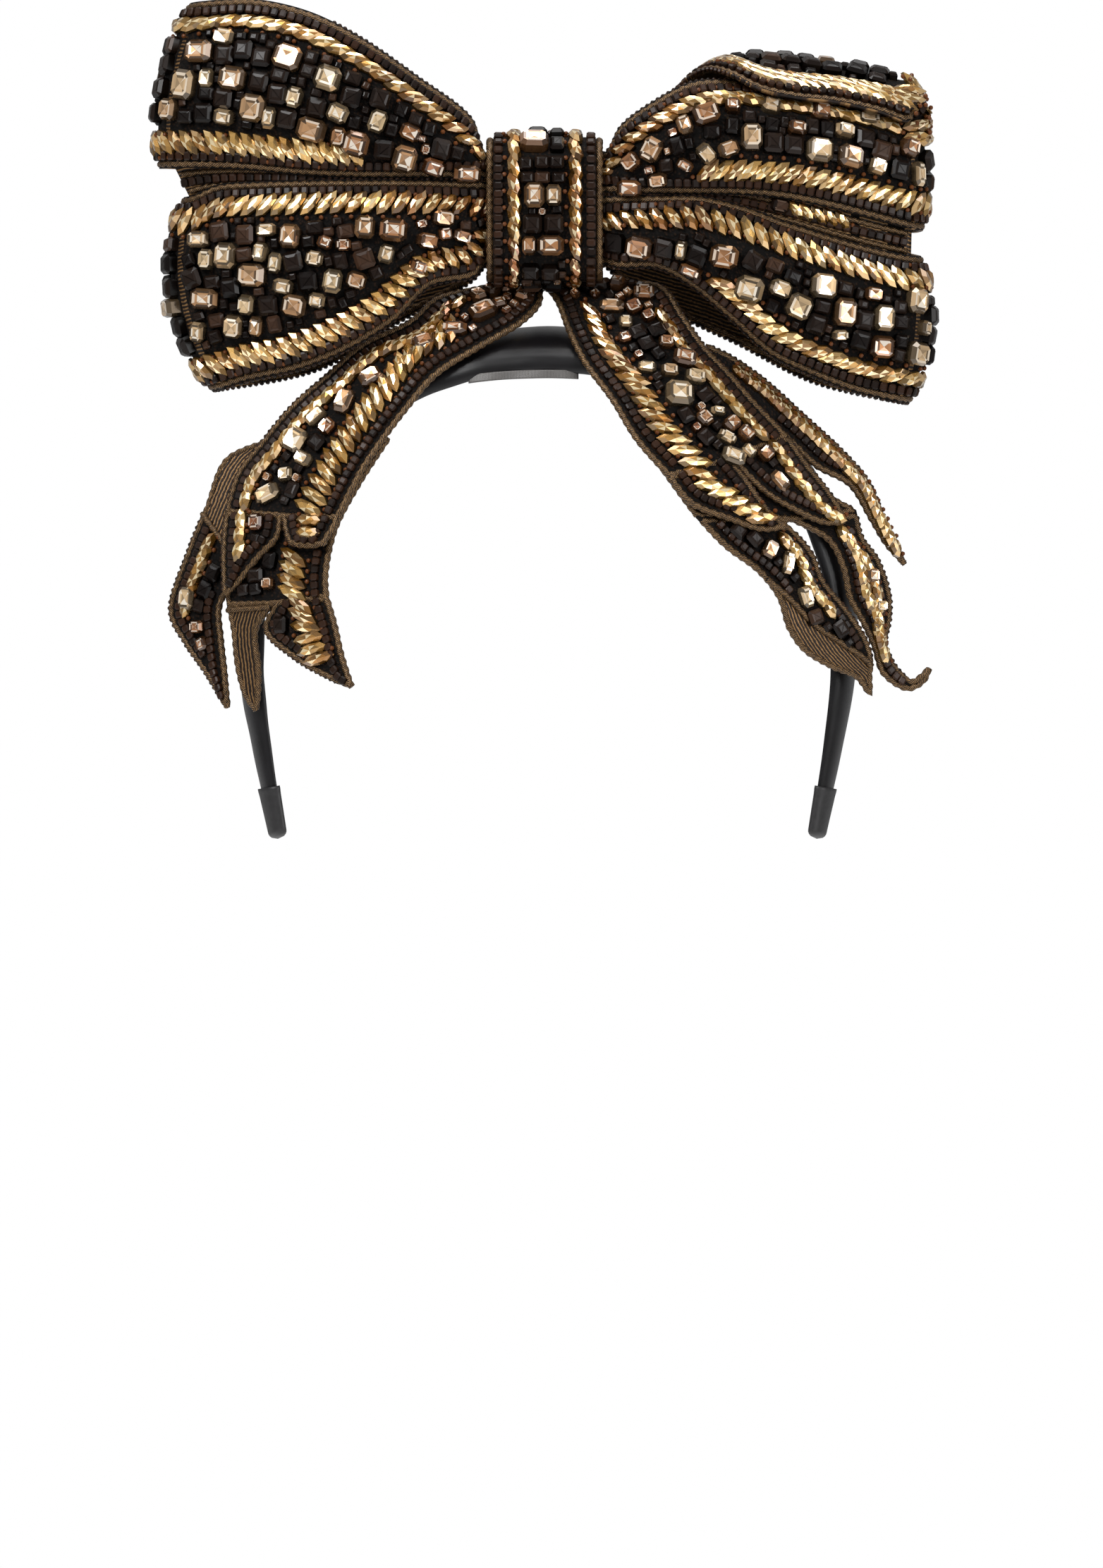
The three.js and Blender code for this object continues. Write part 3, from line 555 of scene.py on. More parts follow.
def inset_across(ribbon, along, side, inset):
    """The place across the ribbon that lies inset from its low edge (side 0) or top edge (side 1)."""
    edge = ribbon["low"] if side == 0 else ribbon["top"]
    ahead = np.minimum(along + SMALL, 1)
    behind = np.maximum(along - SMALL, 0)
    run = unit(smooth_line(edge, ahead) - smooth_line(edge, behind))
    row = smooth_line(ribbon["top"], along) - smooth_line(ribbon["low"], along)
    row = row + smooth_line(ribbon["bow"], along) * (4 if side == 0 else -4)
    square = np.linalg.norm(np.cross(row, run), axis=1)
    share = np.minimum(inset / np.maximum(square, 0.6 * np.linalg.norm(row, axis=1) + 0.01), 0.5)
    return share if side == 0 else 1 - share


ground_cloth, shader = new_material("dark brown silk net ground, closely worked")
# Between the stones only the dark ground and its brown stitches show, matt and slightly rough.
stitches = texture(ground_cloth, "Voronoi", {"Scale": 1.1, "Randomness": 0.8}, "Distance")
browns = [(0.1, "#24170E"), (0.5, "#070504")]
colour_and_relief(ground_cloth, shader, stitches, browns, stitches, 0.8, 0.0004, invert=True)
set_inputs(shader, {"Roughness": 0.8, "Specular IOR Level": 0.12})

LAME_THREAD = 1.0  # real threads lie 0.25 mm apart, too fine to show
lame, shader = new_material("bronze lame lining, metallic weft on brown silk")
# Flat metal-wrapped threads give the lining a grainy bronze glitter along its fine ribs.
ribs = texture(
    lame,
    "Wave",
    {
        "bands_direction": "Y",
        "Scale": 0.31 / LAME_THREAD,
        "Distortion": 2.2,
        "Detail": 2.0,
        "Detail Scale": 1.5,
    },
)
glitter = texture(lame, "Noise", {"Scale": 1.25, "Detail": 4.0, "Roughness": 0.75})
grain = blend(lame, 0.62, ribs, glitter)
bronzes = [(0.34, "#120A06"), (0.52, "#2E1E12"), (0.66, "#7E5F3A")]
colour_and_relief(lame, shader, grain, bronzes, grain, 0.7, 0.0003)
set_inputs(shader, {"Metallic": 0.6, "Roughness": 0.4})


def wrap_cloth(piece, thick, edges=1):
    """Gives a cloth its thickness: the worked ground outside, lame inside and, with edges 1, at its edges."""
    wall = add_wall(piece, "stiffened ribbon", thick, 0)
    wall.material_offset = 1
    wall.material_offset_rim = edges


def ribbon_grid(ribbon, steps, columns):
    """A grid laid on a ribbon, its UV the length along it and the distance from its middle."""

    def place(u, v):
        lengths = np.stack([length_at(ribbon, u), (v - 0.5) * width_at(ribbon, u)], 1)
        return ribbon_points(ribbon, u, v), lengths

    return laid_grid(steps, columns, place)


def lay_cloth(name, ribbon, steps, columns, bare=()):
    """A ribbon's cloth, its lame side turned out along the bare stretches of its length."""
    bm = ribbon_grid(ribbon, steps, columns)
    uv = bm.loops.layers.uv["UVMap"]
    bm.normal_update()
    if ribbon_side(ribbon, bm) < 0:
        bmesh.ops.reverse_faces(bm, faces=bm.faces)
    for face in bm.faces:
        length = sum(loop[uv].uv.x for loop in face.loops) / len(face.loops)
        if any(start <= length <= end for start, end in bare):
            face.material_index = 1
    piece = finish_piece(bm, name, [ground_cloth, lame])
    wrap_cloth(piece, 2 * ribbon["surface"])
    return piece


def ribbon_side(ribbon, bm):
    """Whether the faces of a grid laid on a ribbon look outwards (above 0) or inwards."""
    place, _, out = frame_at(ribbon, ribbon["end"] * 0.4, 0.5)
    face = min(bm.faces, key=lambda face: (face.calc_center_median() - Vector(place)).length)
    return face.normal @ Vector(out)


ribbons = {}
loop_cloths = {}
for name, rows in LOOPS.items():
    ribbon = make_ribbon(rows, LOOP_END_ROW[name] / (len(rows) - 1))
    ribbons[name] = ribbon
    end = length_at(ribbon, ribbon["end"])
    bare = [(end - BARE_STRIP / 2, end + BARE_STRIP / 2)]
    cloth = lay_cloth(name + "_cloth", ribbon, LOOP_STEPS, LOOP_COLUMNS_ACROSS, bare)
    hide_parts(name)
    loop_cloths[name] = cloth

# ---- The loops: piping ---------------------------------------------------------------------------
# A two-ply cord of bronze metallic thread is couched along both long edges of every loop's ribbon,
# and goes with them all the way round the fold.

PIPING_RADIUS = 1.1
PIPING_PLY = 2.3
PIPING_SIDES = 10
PIPING_STEP = 0.62
PIPING_LOBE = 0.16  # half of what the section loses between its two plies, as a share of its radius

piping_thread, shader = new_material("bronze metallic thread, plied and couched")
# Each ply is wrapped in flat bronze foil over brown silk; the lighter grains of its colour are partly
# the foil's own bronze and partly painted glints.
wraps = texture(
    piping_thread,
    "Wave",
    {
        "bands_direction": "DIAGONAL",
        "Scale": 0.9,
        "Distortion": 3.0,
        "Detail": 2.0,
        "Detail Scale": 2.0,
    },
)
wear_and_glints = texture(piping_thread, "Noise", {"Scale": 0.6, "Detail": 4.0})
grain = blend(piping_thread, 0.5, wraps, wear_and_glints)
bronzes = [(0.32, "#120A06"), (0.52, "#2E1F13"), (0.68, "#7C5F3B")]
colour_and_relief(piping_thread, shader, grain, bronzes, grain, 0.6, 0.0002)
set_inputs(shader, {"Metallic": 0.6, "Roughness": 0.45})


def absorb(bm, other):
    """Adds another bmesh to this one, and frees it."""
    mesh = bpy.data.meshes.new("part")
    other.to_mesh(mesh)
    other.free()
    bm.from_mesh(mesh)
    bpy.data.meshes.remove(mesh)


def resample(line, step):
    """Points a step apart along a line of points, and how far along it each one lies."""
    lengths = distances(line)
    count = max(int(round(lengths[-1] / step)), 2) + 1
    at = np.linspace(0, lengths[-1], count)
    return np.stack([np.interp(at, lengths, line[:, k]) for k in range(3)], 1), at


def lay_cord(line, radius=PIPING_RADIUS, closed=False):
    """A two-ply cord along a line: a section with two lobes that turns once for every two plies."""
    sides = PIPING_SIDES
    points, at = resample(line, PIPING_STEP)
    if closed:
        points, at = points[:-1], at[:-1]
        run = unit(np.roll(points, -1, 0) - np.roll(points, 1, 0))
    else:
        run = unit(np.gradient(points, axis=0))
    aside = np.zeros_like(run)
    carried = np.cross(run[0], (0.3, 0.2, 0.9))
    for i, direction in enumerate(run):
        carried = unit(carried - direction * (carried @ direction))
        aside[i] = carried
    other = np.cross(run, aside)
    turn = 2 * math.pi * np.arange(sides) / sides
    waves = np.cos(2 * turn[None, :] - 2 * math.pi * at[:, None] / PIPING_PLY)
    lobes = 1 - PIPING_LOBE + PIPING_LOBE * waves
    reach = radius * lobes
    rings = points[:, None] + reach[..., None] * (
        np.cos(turn)[None, :, None] * aside[:, None] + np.sin(turn)[None, :, None] * other[:, None]
    )
    bm = bmesh.new()
    uv = bm.loops.layers.uv.new("UVMap")
    verts = [[bm.verts.new(p) for p in ring] for ring in rings]
    spans = len(rings) if closed else len(rings) - 1
    for i in range(spans):
        here, after = verts[i], verts[(i + 1) % len(rings)]
        for j in range(sides):
            k = (j + 1) % sides
            face = bm.faces.new((here[j], here[k], after[k], after[j]))
            corners = ((i, j), (i, j + 1), (i + 1, j + 1), (i + 1, j))
            for loop, (row, column) in zip(face.loops, corners):
                loop[uv].uv = (row * PIPING_STEP, column * 2 * math.pi * radius / sides)
    if not closed:
        bm.faces.new(verts[0][::-1])
        bm.faces.new(verts[-1])
    bmesh.ops.recalc_face_normals(bm, faces=bm.faces)
    return bm


THIN_CORD = PIPING_RADIUS * 0.8
EDGES = {"low": 0, "top": 1}
loop_work = {name: [] for name in ribbons}
for name, ribbon in ribbons.items():
    for edge, side in EDGES.items():
        along = np.linspace(0.0, 1.0, 500)
        across = inset_across(ribbon, along, side, PIPING_RADIUS)
        line = ribbon_frame(ribbon, along, across)[0]
        bm = lay_cord(line)
        piece = finish_piece(bm, f"{name}_{edge}_cord", [piping_thread])
        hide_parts(f"{name}_piping_{edge}")
        loop_work[name].append(piece)

# ---- The loops: stones and beads -----------------------------------------------------------------
# Foil-backed glass stones sewn side by side over the ribbon's field, a border of gold navettes inside
# each edge, a string of dark square beads beside the piping, and seed beads in between.

FIELD_INSET = 7.6
NAVETTE_INSET = 6.7
NAVETTE = (8.6, 3.3, 2.1)
SQUARE_BEAD_INSET = 3.25
SQUARE_BEAD = (1.95, 2.3, 1.6)
SQUARE_BEAD_PITCH = 2.3
SEED = (1.35, 1.35, 1.2)
EDGE_SEED_PITCH = 1.6
EDGE_SEED_INSET = -0.1


def arrays_of(bm):
    """The vertices and faces of a bmesh with each face's painted light, as arrays; it frees the bmesh."""
    bm.verts.index_update()
    tone = bm.faces.layers.float.get("tone")
    verts = np.array([v.co[:] for v in bm.verts])
    faces = [[v.index for v in face.verts] for face in bm.faces]
    tones = [face[tone] if tone else 1.0 for face in bm.faces]
    bm.free()
    return verts, faces, np.array(tones)


def unit_block():
    """A bmesh cube one unit long, wide and tall that rests on z 0."""
    bm = bmesh.new()
    bmesh.ops.create_cube(bm, size=1.0)
    bmesh.ops.translate(bm, vec=(0, 0, 0.5), verts=bm.verts)
    return bm


def open_base(bm):
    """Takes off the underside, which is hidden against the cloth, and gives the arrays of the rest."""
    bm.normal_update()
    bmesh.ops.delete(bm, geom=[f for f in bm.faces if f.normal.z < -0.9], context="FACES_ONLY")
    return arrays_of(bm)


def cut_stone(chamfer, rings, crown, chance):
    """A step-cut foiled stone one unit long, wide and tall: rings of facets, each (inset, height, painted
    lights), and a table that is one facet or, with crown, a star of eight. The painted lights darken some
    facets and brighten others: painted reflections of the foil, and painted shade on the sides."""
    bm = unit_block()
    uprights = [e for e in bm.edges if abs(e.verts[0].co.z - e.verts[1].co.z) > 0.5]
    bmesh.ops.bevel(
        bm, geom=uprights, offset=chamfer, segments=1, profile=0.5, affect="EDGES", material=-1
    )
    tone = bm.faces.layers.float.new("tone")
    bm.normal_update()
    top = next(f for f in bm.faces if f.normal.z > 0.9)
    for vert in top.verts:
        vert.co.z = 0.66
    # Every facet gets a painted light; the sides keep a low one, painted shade.
    for face in bm.faces:
        face[tone] = chance.choice((0.12, 0.18, 0.26))
    for inset, height, tones in rings:
        ring = bmesh.ops.inset_region(bm, faces=[top], thickness=inset, use_even_offset=True)["faces"]
        for vert in top.verts:
            vert.co.z = height
        for face in ring:
            face[tone] = chance.choice(tones)
    top[tone] = 0.9
    if crown:
        # The star's facets take painted lights up to 1.7: painted reflections and glints.
        star = bmesh.ops.poke(bm, faces=[top])
        for vert in star["verts"]:
            vert.co.z = crown
        for face in star["faces"]:
            face[tone] = chance.choice((0.5, 0.8, 1.0, 1.1, 1.7))
    return open_base(bm)


def cut_navette(chance):
    """A pointed-oval stone one unit long, wide and tall, facetted to a low ridge."""
    bm = bmesh.new()
    ring = bmesh.ops.create_circle(bm, cap_ends=True, radius=0.5, segments=8)["verts"]
    for vert in ring:
        if 0.1 < abs(vert.co.x) < 0.4:
            vert.co.x *= 0.31 / 0.3536
            vert.co.y *= 0.4 / 0.3536
    tone = bm.faces.layers.float.new("tone")
    bm.normal_update()
    base = bm.faces[:]
    if base[0].normal.z < 0:
        bmesh.ops.reverse_faces(bm, faces=base)
    lifted = bmesh.ops.extrude_face_region(bm, geom=base)["geom"]
    top = next(g for g in lifted if isinstance(g, bmesh.types.BMFace))
    bmesh.ops.translate(bm, vec=(0, 0, 0.42), verts=top.verts)
    # Each facet gets a painted light: the sides painted shade, the crown and star painted reflections and
    # glints.
    for face in bm.faces:
        face[tone] = 0.28
    crown = bmesh.ops.inset_region(bm, faces=[top], thickness=0.17, use_even_offset=True)["faces"]
    for vert in top.verts:
        vert.co.z = 0.9
    for face in crown:
        face[tone] = chance.choice((0.25, 0.45, 0.8, 1.2))
    star = bmesh.ops.poke(bm, faces=[top])
    for vert in star["verts"]:
        vert.co.z = 1.0
    for face in star["faces"]:
        face[tone] = chance.choice((0.5, 0.75, 1.0, 1.6))
    return open_base(bm)


def round_bead(segments, rings):
    """A round bead one unit across that rests on z 0."""
    bm = bmesh.new()
    bmesh.ops.create_uvsphere(bm, u_segments=segments, v_segments=rings, radius=0.5)
    bmesh.ops.translate(bm, vec=(0, 0, 0.5), verts=bm.verts)
    return arrays_of(bm)


def square_bead():
    """A square bead one unit long, wide and tall, with its upper edges taken off."""
    bm = unit_block()
    upper = [e for e in bm.edges if e.verts[0].co.z + e.verts[1].co.z > 0.9]
    bmesh.ops.bevel(bm, geom=upper, offset=0.2, segments=1, profile=0.5, affect="EDGES", material=-1)
    return open_base(bm)


# Each ring of facets: how far it reaches in, how high it ends, and the painted lights that its facets take,
# painted reflections of the foil.
STEP_RINGS = [
    (0.12, 1.0, (0.1, 0.16, 0.3, 0.6)),
    (0.1, 0.985, (0.12, 0.35, 0.8, 1.4)),
    (0.09, 0.972, (0.25, 0.7, 1.0, 1.6)),
]
JET_RINGS = [(0.16, 0.94, (0.5, 0.8, 1.0)), (0.14, 1.0, (0.7, 0.9, 1.0))]
chance = random.Random(11)
CUTS = {
    "oblong": [cut_stone(0.2, STEP_RINGS, 0.935, chance) for _ in range(7)],
    "jet": [cut_stone(0.14, JET_RINGS, 0, chance) for _ in range(3)],
    "navette": [cut_navette(chance) for _ in range(4)],
    "seed": [round_bead(6, 4)],
    "bead": [square_bead()],
}


def map_tone(material, tone, start, end, most):
    """A value that grows from 0 to most while the painted facet light goes from start to end."""
    fields = {"From Min": start, "From Max": end, "To Min": 0.0, "To Max": most, "clamp": True}
    return add_node(material, "ShaderNodeMapRange", fields, {"Value": tone}).outputs["Result"]


def foiled_glass(name, colours, values):
    """Foil-backed glass: opaque, mirror-bright, its colour set by each stone's tint and each facet's painted
    light, which darkens the colour as painted shade and above 1 blends it into the glint colour.
    """
    material, shader = new_material(name)
    tint = add_node(material, "ShaderNodeAttribute", {"attribute_name": "tint"})
    tone = add_node(material, "ShaderNodeAttribute", {"attribute_name": "tone"}).outputs["Fac"]
    *body, glint = colours
    body = ramp(material, tint.outputs["Fac"], list(zip((0.0, 0.5, 1.0), body)))
    dim = add_node(
        material,
        "ShaderNodeMix",
        {"data_type": "RGBA", "blend_type": "MULTIPLY", "Factor": 1.0},
        {"A": body, "B": map_tone(material, tone, 0.0, 1.0, 1.0)},
    )
    # Painted lights above 1 blend the colour towards the glint colour: a painted highlight.
    bright = add_node(
        material,
        "ShaderNodeMix",
        {"data_type": "RGBA", "B": linear(glint)},
        {"Factor": map_tone(material, tone, 1.0, 1.6, 0.8), "A": port(dim.outputs, "Result")},
    )
    join(material, port(bright.outputs, "Result"), shader, "Base Color")
    set_inputs(shader, values)
    return material


STONE_INSET = 6.0
# Champagne, topaz and cognac stones, each with a silver foil behind it that throws the light back; the
# foil's reflections inside the stone are painted on the facets.
light_glass = foiled_glass(
    "champagne to cognac glass, step-cut and foil-backed",
    ("#7A3C18", "#B37F52", "#E2C396", "#FFF8EA"),
    {"Metallic": 0.6, "Roughness": 0.16, "Coat Weight": 0.8, "Coat Roughness": 0.04},
)
# Jet and smoky stones, whose foil hardly shows through.
dark_glass = foiled_glass(
    "jet and smoky glass, pressed and fire-polished",
    ("#090504", "#1A110C", "#3A281D", "#5A4A3E"),
    {"Roughness": 0.26, "Specular IOR Level": 0.14, "Coat Weight": 0.04, "Coat Roughness": 0.1},
)
# Gold navettes: yellow glass over a gold foil.
gold_glass = foiled_glass(
    "gold glass navette, foil-backed",
    ("#7E3F16", "#A8752F", "#DAB064", "#FBE9BE"),
    {"Metallic": 0.7, "Roughness": 0.18, "Coat Weight": 1.0, "Coat Roughness": 0.05},
)

bead_glass, shader = new_material("dark brown glass beads, strung close")
tint = add_node(bead_glass, "ShaderNodeAttribute", {"attribute_name": "tint"}).outputs["Fac"]
browns = [(0.0, "#0B0604"), (0.6, "#2B190E"), (1.0, "#5E3416")]
join(bead_glass, ramp(bead_glass, tint, browns), shader, "Base Color")
set_inputs(shader, {"Roughness": 0.36, "Specular IOR Level": 0.14, "Coat Weight": 0.04})

STONE_MATERIALS = [light_glass, dark_glass, gold_glass, bead_glass]
LIGHT, DARK, GOLD, BEAD = range(4)


class Setting:
    """Stones and beads set on a surface, gathered until they are joined into one mesh."""

    def __init__(self, seed):
        self.chance = random.Random(seed)
        self.points, self.faces, self.tones, self.tints, self.materials = [], [], [], [], []
        self.count = 0
        self.seats = []
        self.open_at = lambda place: True

    def put(self, cut, place, forward, out, size, material, tint, tilt=3.0, sunk=0.25):
        """Sets one stone: its base centre, the direction of its length, and the outward direction."""
        verts, faces, tones = self.chance.choice(CUTS[cut])
        lean = math.radians(tilt)
        out = unit(out + forward * self.chance.uniform(-lean, lean))
        forward = unit(forward - out * (forward @ out))
        side = np.cross(out, forward)
        out = unit(out + side * self.chance.uniform(-lean, lean))
        side = np.cross(out, forward)
        turned = -1 if cut != "bead" and self.chance.random() < 0.5 else 1
        local = verts * size * (turned, turned, 1)
        placed = place - out * sunk + local[:, :1] * forward + local[:, 1:2] * side + local[:, 2:] * out
        self.points.append(placed)
        self.faces += [[self.count + k for k in face] for face in faces]
        self.tones.append(tones)
        self.tints.append(np.full(len(faces), tint))
        self.materials.append(np.full(len(faces), material))
        self.count += len(verts)

    def seat(self, place, forward, out, long, wide):
        """Keeps the ground under a stone from being used again."""
        self.seats.append((place, forward, out, long, wide))

    def clear(self, place, forward, out, long, wide, air=0.25):
        """Whether a stone of this length and width fits here beside the seats that are taken."""
        if not self.seats:
            return True
        if len(getattr(self, "seat_places", ())) != len(self.seats):
            self.seat_places = np.array([s[0] for s in self.seats])
            self.seat_runs = np.array([s[1] for s in self.seats])
            self.seat_outs = np.array([s[2] for s in self.seats])
            self.seat_sizes = np.array([(s[3], s[4]) for s in self.seats])
        gap = self.seat_places - place
        near = (np.abs(gap).max(1) < 11) & (self.seat_outs @ out > 0.2)
        if not near.any():
            return True
        side = np.cross(out, forward)
        gap, run, sizes = gap[near], self.seat_runs[near], self.seat_sizes[near] / 2
        shift = np.stack([gap @ forward, gap @ side], 1)
        turn = unit(np.stack([run @ forward, run @ side], 1))
        other = np.stack([-turn[:, 1], turn[:, 0]], 1)
        half = np.array([long, wide]) / 2 + air
        apart = np.zeros(len(gap), dtype=bool)
        for k in (0, 1):
            reach = half[k] + sizes[:, 0] * abs(turn[:, k]) + sizes[:, 1] * abs(other[:, k])
            apart |= np.abs(shift[:, k]) > reach
        for axis, size in ((turn, sizes[:, 0]), (other, sizes[:, 1])):
            reach = half[0] * abs(axis[:, 0]) + half[1] * abs(axis[:, 1]) + size
            apart |= np.abs((shift * axis).sum(1)) > reach
        return bool(apart.all())

    def join(self, name, slot):
        """One object of all the stones set so far."""
        mesh = bpy.data.meshes.new(name)
        mesh.from_pydata((np.vstack(self.points) * MM).tolist(), [], self.faces)
        for label, values in (("tone", self.tones), ("tint", self.tints)):
            layer = mesh.attributes.new(label, "FLOAT", "FACE")
            layer.data.foreach_set("value", np.concatenate(values).astype(np.float32))
        used = np.concatenate(self.materials).astype(np.int32)
        kinds = sorted(set(used.tolist()))
        for kind in kinds:
            mesh.materials.append(STONE_MATERIALS[kind])
        mesh.polygons.foreach_set("material_index", np.searchsorted(kinds, used).astype(np.int32))
        mesh.update()
        piece = add_object(name, mesh)
        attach(piece, "root")
        return piece


def turned(run, out, degrees):
    """The direction that makes this angle with run on the surface, towards the side of out x run."""
    angle = math.radians(degrees)
    return math.cos(angle) * run + math.sin(angle) * np.cross(out, run)


def even_places(ribbon, side, inset, pitch, first, last):
    """Stations along the ribbon that lie a pitch apart on the line inset from one edge."""
    along = np.linspace(first, last, 1200)
    line = ribbon_points(ribbon, along, inset_across(ribbon, along, side, inset))
    lengths = distances(line)
    at = np.arange(pitch / 2, lengths[-1], pitch)
    return np.interp(at, lengths, along)


def sew_string(setting, ribbon, side, inset, pitch, cut, size, first, last, tint, lift=0.0):
    """Sews a string of equal beads along the line inset from one edge. Where the ribbon narrows, only
    the string of the top edge goes on."""
    along = even_places(ribbon, side, inset, pitch, first, last)
    across = inset_across(ribbon, along, side, inset)
    widths = width_at(ribbon, along)
    for place, run, out, share, width in zip(*ribbon_frame(ribbon, along, across), across, widths):
        room = min(share, 1 - share) < (0.51 if side else 0.42) and width > 3.4
        if room and setting.open_at(place):
            raised = place + out * (ribbon["surface"] + lift)
            setting.put(cut, raised, run, out, size, BEAD, tint(setting.chance))


# Each border: how many degrees its navettes turn from the edge towards the ribbon's top, their pitch,
# and how far from the start of the ribbon, inside the knot, they begin.
LOOP_BORDERS = {
    ("loop_upper_left", "top"): (-17, 4.5, 6),
    ("loop_upper_left", "low"): (50, 3.4, 46),
    ("loop_lower_left", "top"): (-45, 3.9, 6),
    ("loop_lower_left", "low"): (53, 3.5, 6),
    ("loop_upper_right", "top"): (-20, 4.4, 6),
    ("loop_upper_right", "low"): (45, 3.6, 36),
    ("loop_lower_right", "top"): (-45, 3.9, 6),
    ("loop_lower_right", "low"): (25, 4.4, 40),
}

# Light stones of the four fronts: x z long wide turn tint. turn is the angle of the long side, looked
# at from the front; tint runs from cognac (0.2) over topaz (0.6) to champagne (1).
FRONT_STONES = {
    "loop_upper_left": [
        (-90.3, 80.9, 7.6, 6, -5, 0.6), (-94.1, 72.6, 7.8, 6.2, 80, 0.9), (-88.1, 73.8, 5, 4, 85, 1),
        (-81.3, 73.4, 7.2, 6.2, -10, 0.65), (-83.9, 84.3, 5.8, 4.4, -15, 0.9),
        (-66.9, 78.7, 7.6, 6.6, -20, 0.6),
        (-57.1, 73, 6.8, 6.6, -20, 1), (-65.4, 68.5, 5.4, 4.2, 75, 1), (-76.4, 65.8, 7.2, 6.8, 80, 0.7),
        (-83.9, 63.9, 5.6, 4.2, -10, 0.9), (-72.2, 63.2, 5.8, 3.6, 80, 0.95),
        (-97.9, 65.8, 5.6, 4.8, 80, 0.7),
        (-54.5, 64.3, 5.6, 5, -25, 0.95), (-61.3, 60.5, 7.8, 6, -15, 0.6), (-44.6, 62.1, 6, 4.6, 70, 1),
        (-49.5, 56.8, 7, 6.6, -15, 0.4), (-54.5, 58.3, 5, 4, 80, 0.45), (-36, 59.4, 5.6, 4.2, -25, 0.35),
        (-37.5, 52.6, 7, 6.2, 75, 0.6), (-29.5, 50.7, 6, 4.6, -20, 0.2), (-21.2, 49.2, 7, 4.5, -5, 0.4),
    ],
    "loop_lower_left": [
        (-90.3, 32, 6.2, 4.4, -3, 0.9), (-88.4, 26.9, 5.4, 4.2, 85, 1), (-83.1, 27.7, 6.8, 6, 85, 0.9),
        (-74.5, 28.4, 5, 4, 80, 0.95), (-72.6, 33.4, 5.6, 3.4, 0, 0.9), (-66.5, 31.8, 6.4, 5.4, 85, 0.6),
        (-70.3, 25.1, 5.4, 3.6, 80, 1), (-60.5, 26.2, 4.6, 4, -10, 0.9), (-76, 22, 7.6, 6, -3, 0.65),
        (-68.4, 19.5, 5.4, 4, -10, 0.9), (-55.6, 20.5, 6.2, 5, 80, 1), (-49.5, 20.9, 5.2, 4.4, -15, 0.55),
        (-88.8, 16, 7.6, 5.4, -3, 0.6), (-77.5, 15.2, 5.2, 4.4, 80, 1), (-65.8, 14.3, 6.4, 5.8, -10, 0.6),
        (-59.9, 16, 4.4, 4, -10, 0.9), (-81.3, 9.6, 6, 5.2, 80, 0.9), (-75.6, 9.6, 5.2, 3.6, 80, 0.65),
        (-90.7, 8.1, 5.4, 3.8, 80, 0.9), (-47.3, 34, 6, 5.2, 85, 0.6), (-40.5, 33.4, 7.2, 6, -5, 0.4),
        (-42, 27.3, 5, 4, 75, 0.9), (-27.3, 36.8, 5.6, 4, -5, 0.55), (-31.8, 31.1, 5.6, 4, -10, 0.35),
        (-34.1, 24.7, 4.6, 3.4, -20, 0.3), (-57.5, 30.5, 4, 3.4, -20, 0.3), (-52.6, 30, 4, 3.2, 0, 0.3),
        (-22.7, 32.6, 5, 3.2, -15, 0.35),
    ],
    "loop_upper_right": [
        (41.4, 63.8, 7, 5.6, 20, 0.4), (36.1, 60.8, 5, 4, 110, 0.6), (27.8, 54.7, 6.4, 5.2, 60, 0.6),
        (47.8, 65.7, 4, 4, 0, 0.3), (41.4, 53.6, 5.6, 4, -50, 0.9), (47, 54.7, 5.6, 4, 20, 0.6),
        (53.2, 57.9, 7, 5.6, 90, 0.8), (58, 65.7, 5, 4, -10, 0.9), (64.8, 60, 5, 3.8, -5, 0.35),
        (70.8, 64.2, 5, 4.8, 0, 0.35), (76.9, 59.6, 5.6, 4, -5, 0.9), (70.1, 54.7, 7, 6.4, -3, 0.95),
        (78.4, 53.2, 7, 6, -8, 0.6), (83.3, 63, 6.4, 3, 0, 0.9), (85.9, 50.9, 4.8, 4.4, -15, 0.9),
        (94.2, 55.9, 5, 5, -10, 0.4), (96.1, 49.1, 6.5, 3, 85, 0.9), (28.9, 47.2, 5, 3.6, 10, 0.55),
        (22.1, 45.3, 6.5, 4.4, 0, 0.35), (22.5, 51.7, 5, 4.4, 35, 0.35), (35.7, 51, 4.4, 3, -30, 0.35),
    ],
    "loop_lower_right": [
        (24, 29.8, 7, 5.6, -8, 0.4), (35.3, 28.7, 5, 3, 80, 0.9), (45.9, 26.8, 7.4, 6, -10, 0.45),
        (52.7, 18.6, 7.4, 6.6, -15, 0.95), (60, 18.5, 5.8, 4.4, -20, 0.9), (71.6, 19.2, 7, 6.4, -5, 0.9),
        (65.2, 14, 6.6, 6.4, -25, 0.95), (77.2, 12.4, 7.4, 6, 85, 0.6), (75.7, 7.2, 4.4, 2.8, 0, 0.9),
        (84.4, 17.7, 5, 3.6, -5, 0.35), (87.4, 11.3, 6.8, 5.6, 85, 0.95), (95.7, 15.8, 6.6, 5.6, 80, 0.9),
        (87.1, 4.1, 6.6, 5.8, -5, 0.4), (95.7, 2.6, 6.4, 6, -10, 0.9), (98.4, 8.7, 4, 3, 80, 0.9),
        (38, 23.8, 6, 3, -20, 0.35),
    ],
}
# The dark stones that fill the field between them: long, wide, tall, largest first.
DARK_STONES = [(5.2, 5.2, 3.0), (4.6, 3.7, 2.7), (3.6, 3.6, 2.5), (3.0, 2.4, 2.1), (2.1, 2.1, 1.7)]
FILL_PITCH = 1.3
